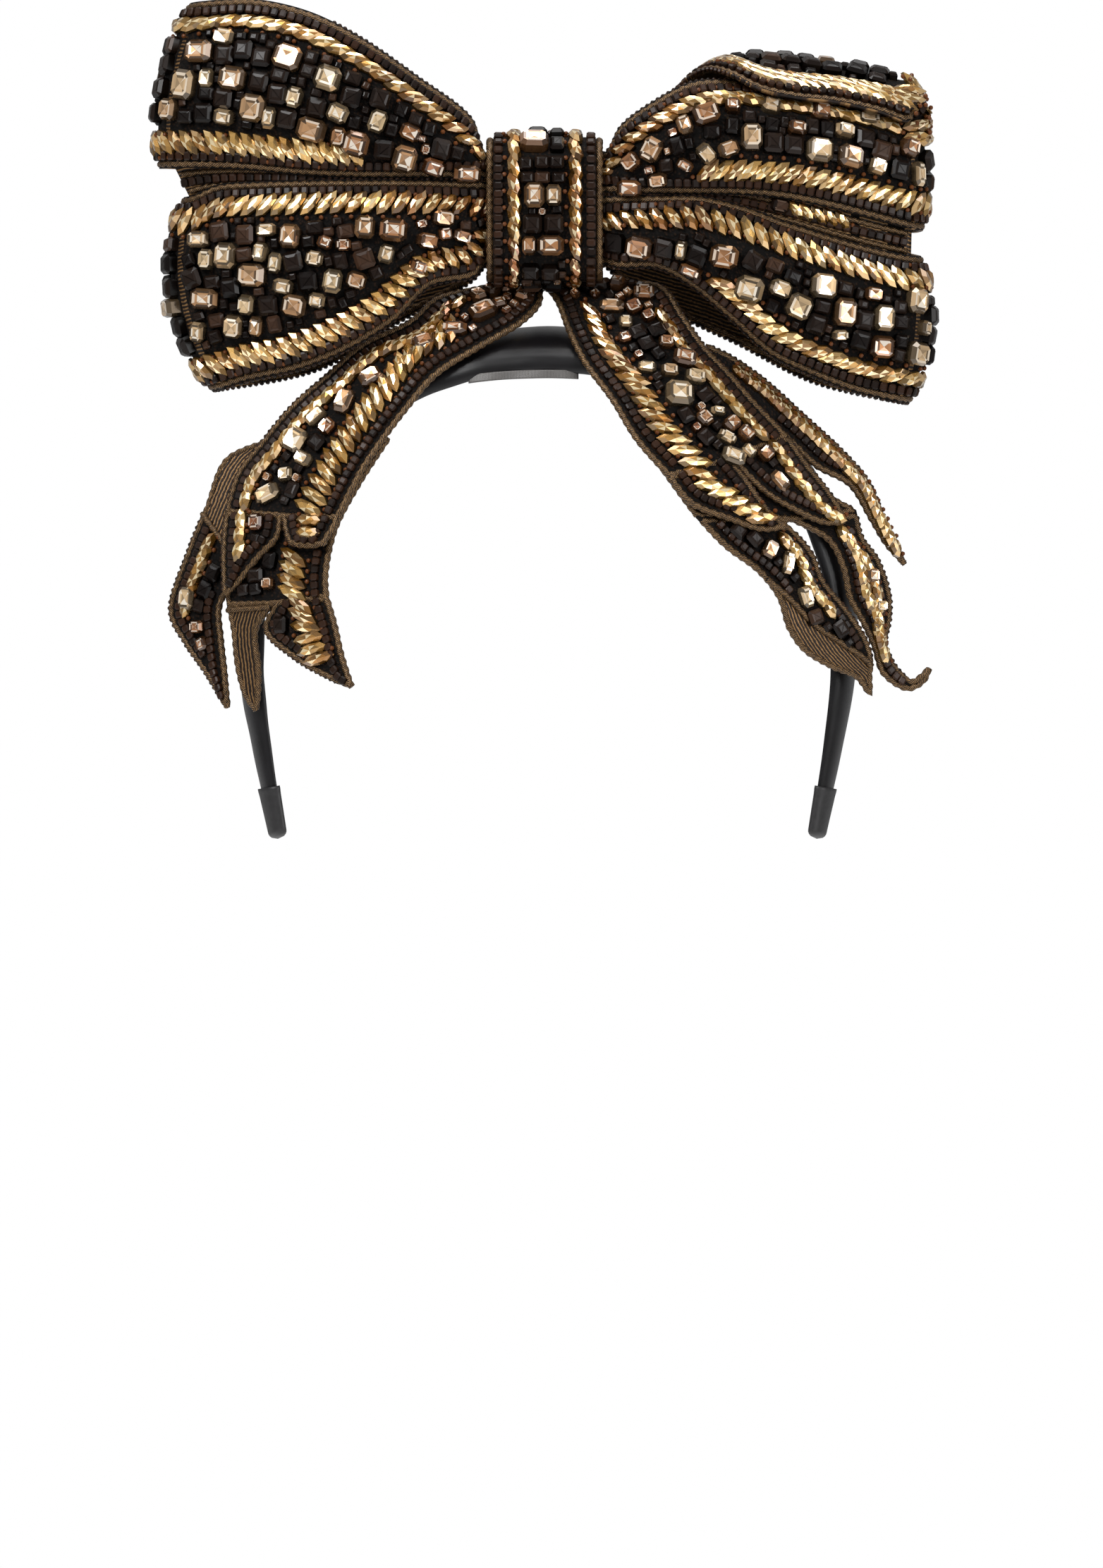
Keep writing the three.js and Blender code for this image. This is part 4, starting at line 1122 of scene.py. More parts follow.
# The light stones of the unseen backs, as a sparse repeat.
LIGHT_SIZES = [(7.4, 6.2, 3.7), (5.6, 4.4, 3.2), (6.2, 5.0, 3.4)]
LIGHT_REPEAT = LIGHT_SIZES[0]
LIGHT_REPEAT_PITCH = 7.6


def nearest_on_front(ribbon, x, z):
    """The place on the front stretch of a ribbon that is seen at x, z."""
    along, across = np.meshgrid(np.linspace(0.02, ribbon["end"] * 1.02, 150), np.linspace(0.03, 0.97, 60))
    along, across = along.ravel(), across.ravel()
    points = ribbon_points(ribbon, along, across)
    best = np.argmin(np.hypot(points[:, 0] - x, points[:, 2] - z))
    return along[best], across[best]


def set_light_stone(setting, ribbon, along, across, row, tall, overlap=0.0):
    """Sets a light stone of the tables, whose angle is the one seen from the front. A fifth of its width
    is added to its height, and the overlap makes its seat smaller, so that its neighbours stand closer."""
    long, wide, degrees, tint = row
    place, _, out = frame_at(ribbon, along, across)
    angle = math.radians(degrees)
    forward = np.array([math.cos(angle), 0, math.sin(angle)])
    forward = unit(forward - out * (forward @ out))
    size = (long, wide, tall + 0.2 * wide)
    setting.put("oblong", place + out * ribbon["surface"], forward, out, size, LIGHT, tint)
    setting.seat(place, forward, out, long - overlap, wide - overlap)


def fill_field(setting, ribbon, first, last, sparse, insets, warm=0.0, stones=DARK_STONES):
    """Fills a stretch of a ribbon between the insets from its low and its top edge: light stones as a
    repeat that leaves out all but a sparse share, then dark stones close together, some of them warm."""
    chance = setting.chance
    length = length_at(ribbon, [first, last])
    for size in ([LIGHT_REPEAT] if sparse else []) + stones:
        light = size is LIGHT_REPEAT
        pitch = LIGHT_REPEAT_PITCH if light else FILL_PITCH
        for at in np.arange(length[0] + size[0] / 2, length[1] - size[0] / 2 + 0.01, pitch):
            along = share_at(ribbon, at)
            station = np.array([along])
            low = inset_across(ribbon, station, 0, insets[0])[0]
            top = inset_across(ribbon, station, 1, insets[1])[0]
            width = (top - low) * width_at(ribbon, along)
            rows = int(width // pitch) + 1
            if width < 0.4:
                continue
            across = low + (top - low) * (np.arange(rows) + 0.5) / rows
            for place, run, out in zip(*ribbon_frame(ribbon, np.full(rows, along), across)):
                if light and chance.random() > sparse:
                    continue
                long, wide, tall = chance.choice(LIGHT_SIZES) if light else size
                forward = turned(run, out, chance.uniform(-5, 5) + (90 if chance.random() < 0.5 else 0))
                air = 0.1 if light else -0.32
                if not setting.open_at(place) or not setting.clear(place, forward, out, long, wide, air):
                    continue
                scale = (long, wide, tall * chance.uniform(0.88, 1.1))
                raised = place + out * ribbon["surface"]
                if light or (size[0] < 5 and chance.random() < warm):
                    tint = chance.choice((0.4, 0.6, 0.9, 1.0)) if light else chance.uniform(0.1, 0.5)
                    setting.put("oblong", raised, forward, out, scale, LIGHT, tint, 5.0)
                else:
                    tint = chance.choice((0.1, 0.3, 0.5, 0.5, 0.9))
                    setting.put("jet", raised, forward, out, scale, DARK, tint, 5.0)
                setting.seat(place, forward, out, long, wide)


def set_navette(setting, ribbon, place, run, out, forward, size, tint):
    """Sets one navette leaning on the next, with a seed bead at each end that holds its thread."""
    aside = np.cross(out, forward)
    leaning = unit(out + 0.2 * aside * math.copysign(1, aside @ run))
    forward = unit(forward - leaning * (forward @ leaning))
    tint = min(max(tint + setting.chance.uniform(-0.18, 0.25), 0), 1)
    setting.put("navette", place + out * (ribbon["surface"] + 0.3), forward, leaning, size, GOLD, tint, 2.0)
    for end in (-1, 1):
        foot = place + forward * end * (size[0] / 2 - 0.5) + aside * size[1] * 0.5
        setting.put("seed", foot + out * (ribbon["surface"] + 0.2), run, out, SEED, BEAD, 0.9)
    setting.seat(place, forward, out, size[0], size[1])


def set_border(setting, ribbon, side, inset, slants, pitch, first, last, size=NAVETTE, warm=(0.15, 0.62)):
    """Sets a border of navettes along one edge. Their turn towards the ribbon's top edge and the warmth
    of their colour change from the first value to the second, the colour over the first 45 mm; the
    darker brown at the knot is partly the navettes' own amber and partly painted shade. Where it
    starts cooler than it ends they also grow, from three quarters of their size to the whole."""
    along = even_places(ribbon, side, inset, pitch, first, last)
    across = inset_across(ribbon, along, side, inset)
    length = length_at(ribbon, along)
    # Darker near the knot: partly their own amber, partly painted shade.
    tints = np.interp(length, [0, 45], warm)
    scales = np.interp(length, [4, 30], [0.75, 1.0] if warm[0] < warm[1] else [1.0, 1.0])
    slants = np.interp(along, [first, last], slants)
    tops = ribbon_points(ribbon, along, np.ones(len(along)))
    stations = zip(*ribbon_frame(ribbon, along, across), tops, tints, slants, scales, across)
    for place, run, out, top, tint, slant, scale, share in stations:
        if min(share, 1 - share) > 0.51 or not setting.open_at(place):
            continue
        towards_top = math.copysign(1, np.cross(out, run) @ (top - place))
        forward = turned(run, out, towards_top * (slant + setting.chance.uniform(-4, 4)))
        set_navette(setting, ribbon, place, run, out, forward, np.multiply(size, scale), tint)


def bead_tint(chance):
    return chance.choice((0.1, 0.3, 0.5, 0.55))


# Seed beads stand along the very edge: near the knot, and all along the lowest edges.
SEED_REACH = 55.0
ALL_SEEDED = ("loop_lower_left", "low"), ("loop_lower_right", "low")

# The back of the upper right loop is folded forwards over its top, with longer navettes along the fold.
FLAP = "loop_upper_right", "top"
FLAP_NAVETTE = (9.8, 3.2, 2.1)
FLAP_SLANTS = (-16, -16)
FLAP_PITCH = 3.3
FLAP_INSETS = (6.2, 9.0)
FLAP_FIELD_INSET = 11.6
END_BARE = 1.2  # how far the stones stay from the turn of the loop
BACK_LIGHT = 0.28  # the share of the light stones' repeat that is set on the back
FRONT_STONE_TALL = 2.3
FRONT_OVERLAP = 0.3
# Strings along the edges: the inset, the pitch, and the cut and size of the beads.
EDGE_BEADS = SQUARE_BEAD_INSET, SQUARE_BEAD_PITCH, "bead", SQUARE_BEAD
EDGE_SEEDS = EDGE_SEED_INSET, EDGE_SEED_PITCH, "seed", SEED

for name, ribbon in ribbons.items():
    whole = ribbon["length"][-1]
    bead_setting = Setting(len(name) * 7)
    for edge, side in EDGES.items():
        ends = share_at(ribbon, 2), share_at(ribbon, whole - 2)
        sew_string(bead_setting, ribbon, side, *EDGE_BEADS, *ends, bead_tint)
        reach = share_at(ribbon, SEED_REACH), share_at(ribbon, whole - SEED_REACH)
        if (name, edge) in ALL_SEEDED:
            reach = 0.5, 0.5
        for stretch in ((ends[0], reach[0]), (reach[1], ends[1])):
            sew_string(bead_setting, ribbon, side, *EDGE_SEEDS, *stretch, bead_tint, -0.9)
    loop_work[name].append(bead_setting.join(name + "_bead_strings", "paved_ribbon_dark"))

    setting = Setting(len(name) * 13 + 1)
    for edge, side in EDGES.items():
        slant, pitch, start = LOOP_BORDERS[name, edge]
        ends = share_at(ribbon, start), share_at(ribbon, whole - 6)
        if (name, edge) == FLAP:
            for inset in FLAP_INSETS:
                stretch = ribbon["end"], ends[1]
                set_border(setting, ribbon, side, inset, FLAP_SLANTS, FLAP_PITCH, *stretch, FLAP_NAVETTE)
            ends = ends[0], ribbon["end"] - 0.01
        set_border(setting, ribbon, side, NAVETTE_INSET, (slant, slant), pitch, *ends)
    loop_work[name].append(setting.join(name + "_navettes", "paved_ribbon"))

    field = Setting(len(name) * 17 + 2)
    field.seats = list(setting.seats)
    for x, z, *row in FRONT_STONES[name]:
        at = nearest_on_front(ribbon, x, z)
        set_light_stone(field, ribbon, *at, row, FRONT_STONE_TALL, FRONT_OVERLAP)
    end = length_at(ribbon, ribbon["end"])
    starts = [max(LOOP_BORDERS[name, edge][2], 6) for edge in EDGES]
    start = max(starts)
    near = tuple(FIELD_INSET if first < 10 else STONE_INSET for first in starts)
    both = (FIELD_INSET, FIELD_INSET)
    behind = FIELD_INSET, FLAP_FIELD_INSET if name == FLAP[0] else FIELD_INSET
    # Each stretch from the start of the ribbon: its ends, its share of light stones, insets and warmth.
    for first, last, sparse, insets, warm in (
        (6, start, 0.0, near, 0.35),
        (start, 30, 0.0, both, 0.35),
        (max(start, 30), end - END_BARE, 0.0, both, 0.0),
        (end + END_BARE, whole - 6, BACK_LIGHT, behind, 0.0),
    ):
        fill_field(field, ribbon, share_at(ribbon, first), share_at(ribbon, last), sparse, insets, warm)
    loop_work[name].append(field.join(name + "_stones", "paved_ribbon"))

# ---- The loops: turned-in hems -------------------------------------------------------------------
# Between the upper and the lower loop of each side the ribbon's bronze hem is turned in behind their
# edges, corded twice. On the right it gapes, with a few navettes and a smoky stone inside.

# The loops above and below, and the x at which the hem starts and ends.
HEMS = {
    "loop_upper_left": ("loop_lower_left", -100.0, -22.0),
    "loop_upper_right": ("loop_lower_right", 30.0, 97.0),
}
HEM_BEHIND = 2.4
HEM_TUCKED = 2.6
HEM_ROWS = 7
HEM_STEPS = 60
HEM_COLUMNS = 12
HEM_CORDS = (0.3, 0.68)
# Where the right hem shows its dark ground: the stretch in x, and the shares across.
GAPE = (79.0, 93.0, 0.42, 0.8)
GAPE_NAVETTES = (64.5, 67.5, 70.5, 73.5, 76.5)
GAPE_NAVETTE = (6.4, 2.8, 2.0)
GAPE_NAVETTE_DROP = 2.4
GAPE_STONE = (60.5, 40.6)
GAPE_STONE_SIZE = (5.0, 3.6, 2.4)


def edge_at(ribbon, edge, x):
    """The point of a ribbon's low or top edge that lies at x on its front."""
    line = smooth_line(ribbon[edge], np.linspace(0, ribbon["end"], 400))
    return line[np.argmin(np.abs(line[:, 0] - x))]


def declare_sheet(strips):
    """Works out the flat size of a cloth that is made of these ribbons, the first of them followed by the
    longest of the others, and does nothing more with it."""
    area = sum(np.sum(s["width"][1:] * np.diff(s["length"])) for s in strips)
    width = max(s["width"].max() for s in strips)
    leaf = max([s["length"][-1] for s in strips[1:]], default=0)
    length = max(area / width, strips[0]["length"][-1] + leaf)
    width, length = width * MM, length * MM


for name, (lower, start, end) in HEMS.items():
    rows = []
    for x in np.linspace(start, end, HEM_ROWS):
        above = edge_at(ribbons[name], "low", x) + (0, HEM_BEHIND, HEM_TUCKED)
        below = edge_at(ribbons[lower], "top", x) + (0, HEM_BEHIND, -HEM_TUCKED)
        rows.append((*above, *below, 0, 0, 0))
    hem = make_ribbon(rows)
    bare = [(0, hem["length"][-1])]
    cloth = lay_cloth(name + "_hem_cloth", hem, HEM_STEPS, HEM_COLUMNS, bare)
    hem_work = Setting(31 + len(name))
    cords = bmesh.new()
    along = np.linspace(0.02, 0.98, 200)
    for share in HEM_CORDS:
        line, _, out = ribbon_frame(hem, along, np.full_like(along, share))
        absorb(cords, lay_cord(line + out * hem["surface"], THIN_CORD))
    cord = finish_piece(cords, name + "_hem_cords", [piping_thread])
    middle = sum(HEM_CORDS) / 2
    for at in np.arange(1, hem["length"][-1] - 1, SQUARE_BEAD_PITCH):
        place, run, out = frame_at(hem, share_at(hem, at), middle)
        raised = place + out * hem["surface"]
        hem_work.put("bead", raised, run, out, SQUARE_BEAD, BEAD, bead_tint(hem_work.chance))
    if name == "loop_upper_right":
        for polygon in cloth.data.polygons:
            x = polygon.center.x / MM
            share = (polygon.index % HEM_COLUMNS + 0.5) / HEM_COLUMNS
            if GAPE[0] < x < GAPE[1] and GAPE[2] < share < GAPE[3]:
                polygon.material_index = 0
        for x in GAPE_NAVETTES:
            z = edge_at(ribbons[name], "low", x)[2] - GAPE_NAVETTE_DROP
            place, run, out = frame_at(hem, *nearest_on_front(hem, x, z))
            set_navette(hem_work, hem, place, run, out, turned(run, out, -35), GAPE_NAVETTE, 0.6)
        place, run, out = frame_at(hem, *nearest_on_front(hem, *GAPE_STONE))
        hem_work.put("oblong", place + out * hem["surface"], run, out, GAPE_STONE_SIZE, DARK, 0.9)
    stones = hem_work.join(name + "_hem_beads", "paved_ribbon_dark")
    declare_sheet([hem])

for name, cloth in loop_cloths.items():
    declare_sheet([ribbons[name]])

# ---- The knot ------------------------------------------------------------------------------------
# A short length of the same ribbon drawn tightly round the gathered middle of the bow and sewn shut
# underneath, with the piping, beads and navettes of its borders and rows of stones between.

KNOT = {"left": -14.1, "right": 12.7, "front": -15.5, "back": 12.0, "low": 21.0, "top": 58.8}
KNOT_WALL = 2.2
KNOT_ROUND = 8.0
KNOT_CORNER = 7
KNOT_CORD_OUT = 0.85
KNOT_NAVETTE = (7.6, 3.3, 2.2)
KNOT_NAVETTE_INSET = 5.4
KNOT_SLANTS = (-18, -18)
KNOT_PITCH = 4.2
KNOT_INSETS = (8.2, 8.2)
KNOT_BEADS = 1.3, 2.15, "bead", SQUARE_BEAD


def knot_path(inset):
    """Stations round the knot in y and z, from its underside to the front, over the top and back."""
    front, back = KNOT["front"] + inset, KNOT["back"] - inset
    low, top = KNOT["low"] + inset, KNOT["top"] - inset
    radius = KNOT_ROUND - inset
    middle_y, middle_z = (front + back) / 2, (low + top) / 2
    stations = [(middle_y, low)]
    corners = ((front, low, 270), (front, top, 180), (back, top, 90), (back, low, 0))
    for corner, (y, z, start) in enumerate(corners):
        centre_y = y + radius * (1 if y == front else -1)
        centre_z = z + radius * (1 if z == low else -1)
        for angle in np.radians(np.linspace(start, start - 90, KNOT_CORNER)):
            stations.append((centre_y + radius * math.cos(angle), centre_z + radius * math.sin(angle)))
        if corner in (0, 2):
            stations.append((y, middle_z))
        if corner == 1:
            stations.append((middle_y, top))
    return stations + [(middle_y, low)]


half_wall = KNOT_WALL / 2
knot_rows = [(KNOT["right"], y, z, KNOT["left"], y, z, 0, 0, 0) for y, z in knot_path(half_wall)]
knot = make_ribbon(knot_rows, 0.6, half_wall)
cloth = lay_cloth("knot_cloth", knot, 150, 10)
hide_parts("knot_wrap")

for side, x in (("left", KNOT["left"] - KNOT_CORD_OUT), ("right", KNOT["right"] + KNOT_CORD_OUT)):
    line = np.array([(x, y, z) for y, z in knot_path(half_wall)])
    line = smooth_line(line, np.linspace(0, 1, 400))
    bm = lay_cord(line, closed=True)
    cord = finish_piece(bm, f"knot_{side}_cord", [piping_thread])
    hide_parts(f"knot_piping_{side}")

# The stones of the knot's front: x z long wide turn tint, the dark ones with tint under 0.
KNOT_STONES = [
    (-3.4, 55.6, 7.4, 5.4, 0, 0.5), (3.2, 56.6, 4.6, 4.4, 0, -0.5), (-5.4, 51.2, 3.6, 3.4, 0, -0.3),
    (-1.4, 51.4, 3.8, 3.4, 0, -0.5), (2.6, 51.3, 3.8, 3.4, 0, -0.3), (-5.2, 47.8, 3.6, 3.0, 0, -0.5),
    (-1.2, 48.0, 4.0, 3.0, 0, -0.9), (2.8, 47.8, 3.6, 3.0, 0, -0.3), (-3.4, 43.3, 6.6, 5.4, 90, 0.6),
    (1.7, 43.1, 5.6, 4.1, 90, 0.75), (-3.9, 35.8, 5.0, 5.0, 0, -0.5), (1.5, 35.8, 5.0, 5.0, 0, -0.5),
    (-4.9, 29.8, 5.0, 3.6, 90, 0.45), (0.8, 29.8, 7.0, 5.2, 0, 0.45), (-4.4, 24.6, 4.4, 4.0, 0, -0.3),
    (0.6, 24.4, 4.4, 4.0, 0, -0.5),
]
knot_setting = Setting(5)
for side in (0, 1):
    border = KNOT_NAVETTE_INSET, KNOT_SLANTS, KNOT_PITCH, 0.01, 0.99, KNOT_NAVETTE
    # Their colour darkens over the first 45 mm from under the knot: partly their own amber, partly painted
    # shade.
    set_border(knot_setting, knot, side, *border, (0.15, 0.5))
for x, z, long, wide, degrees, tint in KNOT_STONES:
    place, _, out = frame_at(knot, *nearest_on_front(knot, x, z))
    forward = turned(np.array([1.0, 0, 0]), out, degrees)
    kind, tall = (DARK, 3.0) if tint < 0 else (LIGHT, 2.4 + 0.25 * wide)
    cut = "jet" if tint < 0 else "oblong"
    knot_setting.put(cut, place + out * half_wall, forward, out, (long, wide, tall), kind, abs(tint))
    knot_setting.seat(place, forward, out, long, wide)
fill_field(knot_setting, knot, 0.01, 0.99, 0.0, KNOT_INSETS, 0.2)
for side in (0, 1):
    sew_string(knot_setting, knot, side, *KNOT_BEADS, 0.0, 1.0, bead_tint)
knot_setting.join("knot_stones", "paved_ribbon_dark")
declare_sheet([knot])

# ---- The tails -----------------------------------------------------------------------------------
# Six tails of the same worked ribbon, less stiffened. The front one of each side hangs from under the
# knot, and two more come out from behind it. They follow the side of the head, end in a point or in
# leaves, and are bound all round with the bronze cord.

TAIL_THICK = 0.9
TAIL_LAYER = 2.6
DRAPE = {"centre_z": -72.0, "radius": 92.0, "outer_y": -7.05, "slope": 0.56, "farthest": -44.0}
TAIL_ROW = 1.6
BODY_COLUMNS = 16
LEAF_COLUMNS = 8
TAIL_FADE = 2.2  # how near the stones come to a tail in front of them
FOLD_FADE = 1.4  # and to their own tail's bronze side
TAIL_CORD = PIPING_RADIUS * 0.9
TAIL_BEADS = 2.9, 2.1, "bead", (1.9, 2.1, 1.5)
TAIL_STONE_TALL = 1.8
TAIL_INSETS = (4.4, 4.6)
# Near the knot the stones stand closer to the edges, and more of them are light.
NEAR_KNOT = 0.36
NEAR_INSETS = (4.2, 4.4)
# Each row is inX inZ outX outZ backIn backOut: the edge on the head's side, the outer edge, and how far
# back of the drape each lies. layer is how many layers of ribbon lie in front. The body's rows run down
# from the knot, and each leaf's rows go on from its half of the body's last row.
TAILS = {
    "tail_left_front": {
        "layer": 0,
        "body": [
            (-1.5, 19.9, -17, 19.9, 5, 8), (-1.7, 15.5, -23, 18.6, 4, 5), (-6.5, 10, -29.6, 16.6, 2, 2),
            (-17, 3.6, -36, 10.7, 1.2, 0.6), (-28.9, -4.1, -48.3, 4.6, 0, 0), (-36.5, -13, -58, -3.8, 0, 0),
            (-42.5, -21, -67, -11.8, 0, 0), (-47.8, -29, -75, -21.5, 0, 0), (-51, -35, -80.8, -29, 0, 0),
            (-54, -41, -84, -39, 0, 0),
        ],
        "leaves": [
            [
                (-55.3, -44, -68.2, -44.8, -0.5, -0.5), (-56.8, -46.4, -67, -47.6, -1, -1),
                (-57.4, -47.6, -62, -48.6, -1.5, -1.5),
            ],
            [
                (-70.1, -46.1, -84.7, -47, 0, 0), (-75, -51.4, -84.8, -53, 0, 0),
                (-79.6, -57, -84.6, -58, 0, 0), (-83.4, -60.8, -84.4, -61, 0, 0),
            ],
        ],
    },
    "tail_left_middle": {
        "layer": 1,
        "body": [
            (-41, -20.5, -63, -11.5, 0, 0), (-49, -33, -74, -24.5, 0, 0), (-54.9, -44.5, -81, -41, 0, 0),
            (-57.2, -56, -83.6, -55, 0, 0), (-57, -61.6, -83.6, -63.4, 0, 0),
        ],
        "leaves": [
            [
                (-54.9, -68.6, -73.6, -70, 0, 0), (-53.1, -76.4, -66, -77.5, -1, -1),
                (-51.2, -82.5, -56.6, -82.9, -2, -2), (-50.3, -84.8, -50.9, -85.4, -3, -3),
            ],
            [
                (-75.6, -70, -82.3, -70, 0.5, 0.5), (-74.9, -80.3, -81.2, -80, 1, 1),
                (-75.2, -88, -79, -87.6, 1, 1), (-75.6, -90.8, -76.6, -91.2, 1, 1),
            ],
        ],
    },
    "tail_left_back": {
        "layer": 2,
        "body": [
            (-62, -16.5, -72.6, -20.4, 0, 0), (-70, -30, -84.2, -25, 0, 0), (-77, -43, -89.7, -38.3, 0, 0),
            (-81, -55, -94.5, -50, 0, 0), (-85.4, -64, -99, -65.2, 0, 0), (-85, -72, -95.1, -73.3, -1, 1),
            (-84, -81, -89.5, -81.3, -2, 0), (-83.3, -90, -84, -90.4, -3, -2),
        ],
        "leaves": [],
    },
    "tail_right_front": {
        "layer": 0,
        "body": [
            (-0.4, 19.9, 17, 19.9, 5, 5), (2.5, 15.6, 30, 19.9, 4, 0), (5.5, 7.5, 35.6, 12, 2, 0),
            (9.6, -0.9, 41, 4, 1, 0), (16.5, -10.5, 47.5, -3, 0, 0), (22.9, -21.1, 53.5, -10, 0, 0),
            (31, -30.5, 62.5, -19.5, 0, 0),
        ],
        "leaves": [
            [
                (37, -37.8, 51.8, -31.2, 0, 0), (47.9, -42.2, 55.2, -36.2, -0.5, -0.5),
                (55.7, -44.6, 58.4, -40.2, -1, -1), (61.8, -43.9, 62.2, -43.3, -1.5, -1.5),
            ],
            [
                (56.6, -34.8, 68.1, -27.4, 0, 0), (64.5, -39.4, 73.4, -34, 0, 0),
                (72, -42.5, 76.4, -38.6, -0.5, -0.5), (76.4, -42.6, 77.4, -41.6, -1, -1),
            ],
        ],
    },
    "tail_right_outer": {
        "layer": 1,
        "body": [
            (38, -1.5, 41.5, 4.6, 0, 0), (46.9, -7.5, 48.4, 1.2, 0, 0), (54.6, -14, 57.2, -5, 0, 0),
            (62.5, -20.5, 66.5, -13.4, 0, 0), (70, -27.5, 77.5, -23.5, 0, 0), (79, -32.4, 84, -31, 0, 0),
            (84.4, -41, 88, -40, 0.5, 0.5), (88.6, -47.8, 91, -46.8, 1, 1), (93.4, -53, 94, -52.6, 1, 1),
        ],
        "leaves": [],
    },
    "tail_right_back": {
        "layer": 1,
        "body": [(25, -22, 50, -17.5, 0, 0), (31.5, -31.5, 63, -29, 0, 0), (38, -40.5, 80.6, -38.8, 0, 0)],
        "leaves": [
            [
                (46, -48.8, 68.8, -50, 0, 0), (54, -54.6, 72, -57.5, 0, 0),
                (60, -62, 76.8, -63.4, -0.5, -0.5), (62.6, -70, 80.5, -68.2, -1, -1),
                (66.8, -75.8, 83.6, -73.6, -1, -1), (73.5, -79.8, 84.8, -78.6, -1, -1),
                (80.4, -82.6, 84.6, -82, -0.5, -0.5), (83.8, -86.8, 84.8, -87, 0, 0),
            ],
            [
                (73.2, -47, 82.4, -46, 0, 0), (76.9, -54, 86.4, -51.5, 0, 0), (78.7, -62, 89.6, -61, 0, 0),
                (81.8, -67.6, 89.6, -67.6, 0, 0), (85, -74.2, 88.6, -73.4, 0.5, 0.5),
                (87.6, -81.6, 91.2, -79.6, 0, 0),
                (94.4, -85.8, 95.4, -83.2, -1.5, -1.5), (98.9, -83.6, 97.6, -82, -2.5, -2.5),
                (100.5, -80.2, 99.8, -79.8, -3, -3),
            ],
        ],
    },
}
# Where a tail is turned over so that its bronze side shows: the strip, and the fold's start and end as
# shares along and across it. The bronze side lies to the left of the fold.
TAIL_FOLDS = {
    "tail_left_back": (0, 0.3, 0.0, 0.4, 1.0),
    "tail_left_middle": (2, 0.06, 1.0, 0.06, 0.0),
    "tail_right_back": (1, 0.3, 1.0, 0.78, 0.05),
}
# Borders of navettes: the strip (0 the body, then the leaves), its edge, the inset from it, the turn
# towards the head at the first and the last, the pitch, the stretch as shares, and the length.
TAIL_BORDERS = {
    "tail_left_front": [
        (0, 1, 7.8, 50, 78, 3.4, 0.3, 1.0, 9.8), (1, 1, 7.0, 78, 84, 3.4, 0.0, 0.45, 7.4),
        (0, 0, 4.9, 14, 6, 3.9, 0.2, 1.0, 7.2), (2, 0, 4.9, 6, 0, 3.9, 0.02, 0.55, 6.8),
    ],
    "tail_left_middle": [
        (0, 1, 8.8, 62, 62, 3.1, 0.3, 1.0, 9.6), (1, 1, 7.4, 66, 60, 3.2, 0.0, 0.56, 9.6),
    ],
    "tail_left_back": [(0, 0, 4.8, -12, -12, 3.4, 0.36, 0.56, 7.2)],
    "tail_right_front": [
        (0, 1, 7.4, -24, -54, 4.0, 0.22, 1.0, 10.0), (1, 1, 6.8, -48, -36, 4.0, 0.02, 0.75, 9.6),
        (0, 0, 5.0, 0, -4, 4.0, 0.3, 1.0, 7.4), (2, 0, 4.7, -6, -10, 3.9, 0.02, 0.85, 7.0),
    ],
    "tail_right_outer": [(0, 0, 2.9, 18, 12, 2.7, 0.1, 0.9, 6.0)],
    "tail_right_back": [
        (1, 0, 4.0, 0, 0, 3.6, 0.05, 0.42, 6.4), (2, 0, 3.8, -4, 0, 3.2, 0.0, 0.62, 6.2),
        (2, 1, 4.2, 10, 10, 3.2, 0.05, 0.55, 6.2),
    ],
}
TAIL_DARK_STONES = [(4.4, 3.9, 2.6), (3.5, 3.2, 2.4), (2.5, 2.4, 1.9)]
# Light stones of the tails: x z long wide turn tint, as on the fronts of the loops.
TAIL_STONES = {
    "tail_left_front": [
        (-9.8, 18.9, 5, 3.6, 45, 0.35), (-16.8, 12.7, 7.5, 5, 35, 0.35), (-12.5, 14.3, 4, 3, 30, 0.35),
        (-24.2, 8, 7, 3.6, -5, 0.3), (-32.4, 4.5, 5.6, 4, 20, 0.35), (-60, -14.9, 5.6, 3.4, 40, 0.95),
        (-65.1, -21.2, 6.5, 6, 60, 0.95), (-63.1, -25.7, 5, 3.6, -30, 0.95), (-67.8, -30, 4, 3.8, 0, 1),
        (-72.5, -34.8, 6.8, 4.4, 20, 0.95), (-52.6, -11, 6.6, 4.6, 75, 0.6), (-46, -4.6, 6, 4.4, 30, 0.5),
    ],
    "tail_left_middle": [],
    "tail_left_back": [(-93.9, -62, 6, 4.4, 85, 0.95), (-91, -69, 4, 3.4, 0, 0.35)],
    "tail_right_front": [
        (16.7, 13.9, 6.4, 3.4, -3, 0.6), (25.3, 17.8, 5.4, 4, 0, 0.35), (20.6, 9.6, 3.6, 3.4, 0, 0.95),
        (30.7, 4.5, 4, 3.4, 0, 0.35), (35.5, 0.2, 6.4, 5, -10, 0.35), (25.7, -2.5, 4.8, 3, -3, 1),
        (31.5, -3.1, 4.6, 3.4, 0, 0.75), (38.5, -4.8, 5.4, 3.8, -5, 1), (34.2, -9.5, 7.4, 7, 0, 0.95),
        (44, -13.8, 4, 2.4, 0, 1), (46.3, -20.4, 5, 3, -25, 0.95), (47.9, -25.5, 6.4, 4.6, -15, 0.95),
        (51.8, -24, 4, 3, -40, 0.95), (60, -32, 6, 3.6, -45, 0.6),
    ],
    "tail_right_outer": [],
    "tail_right_back": [
        (57.4, -49.4, 5, 4, 60, 0.6), (62.2, -53.1, 6, 3, 75, 0.9), (66.7, -61.9, 5.6, 3.2, 110, 1),
        (84, -56, 4, 4, 0, 0.6), (86.5, -64, 3.6, 3, 0, 0.9),
    ],
}


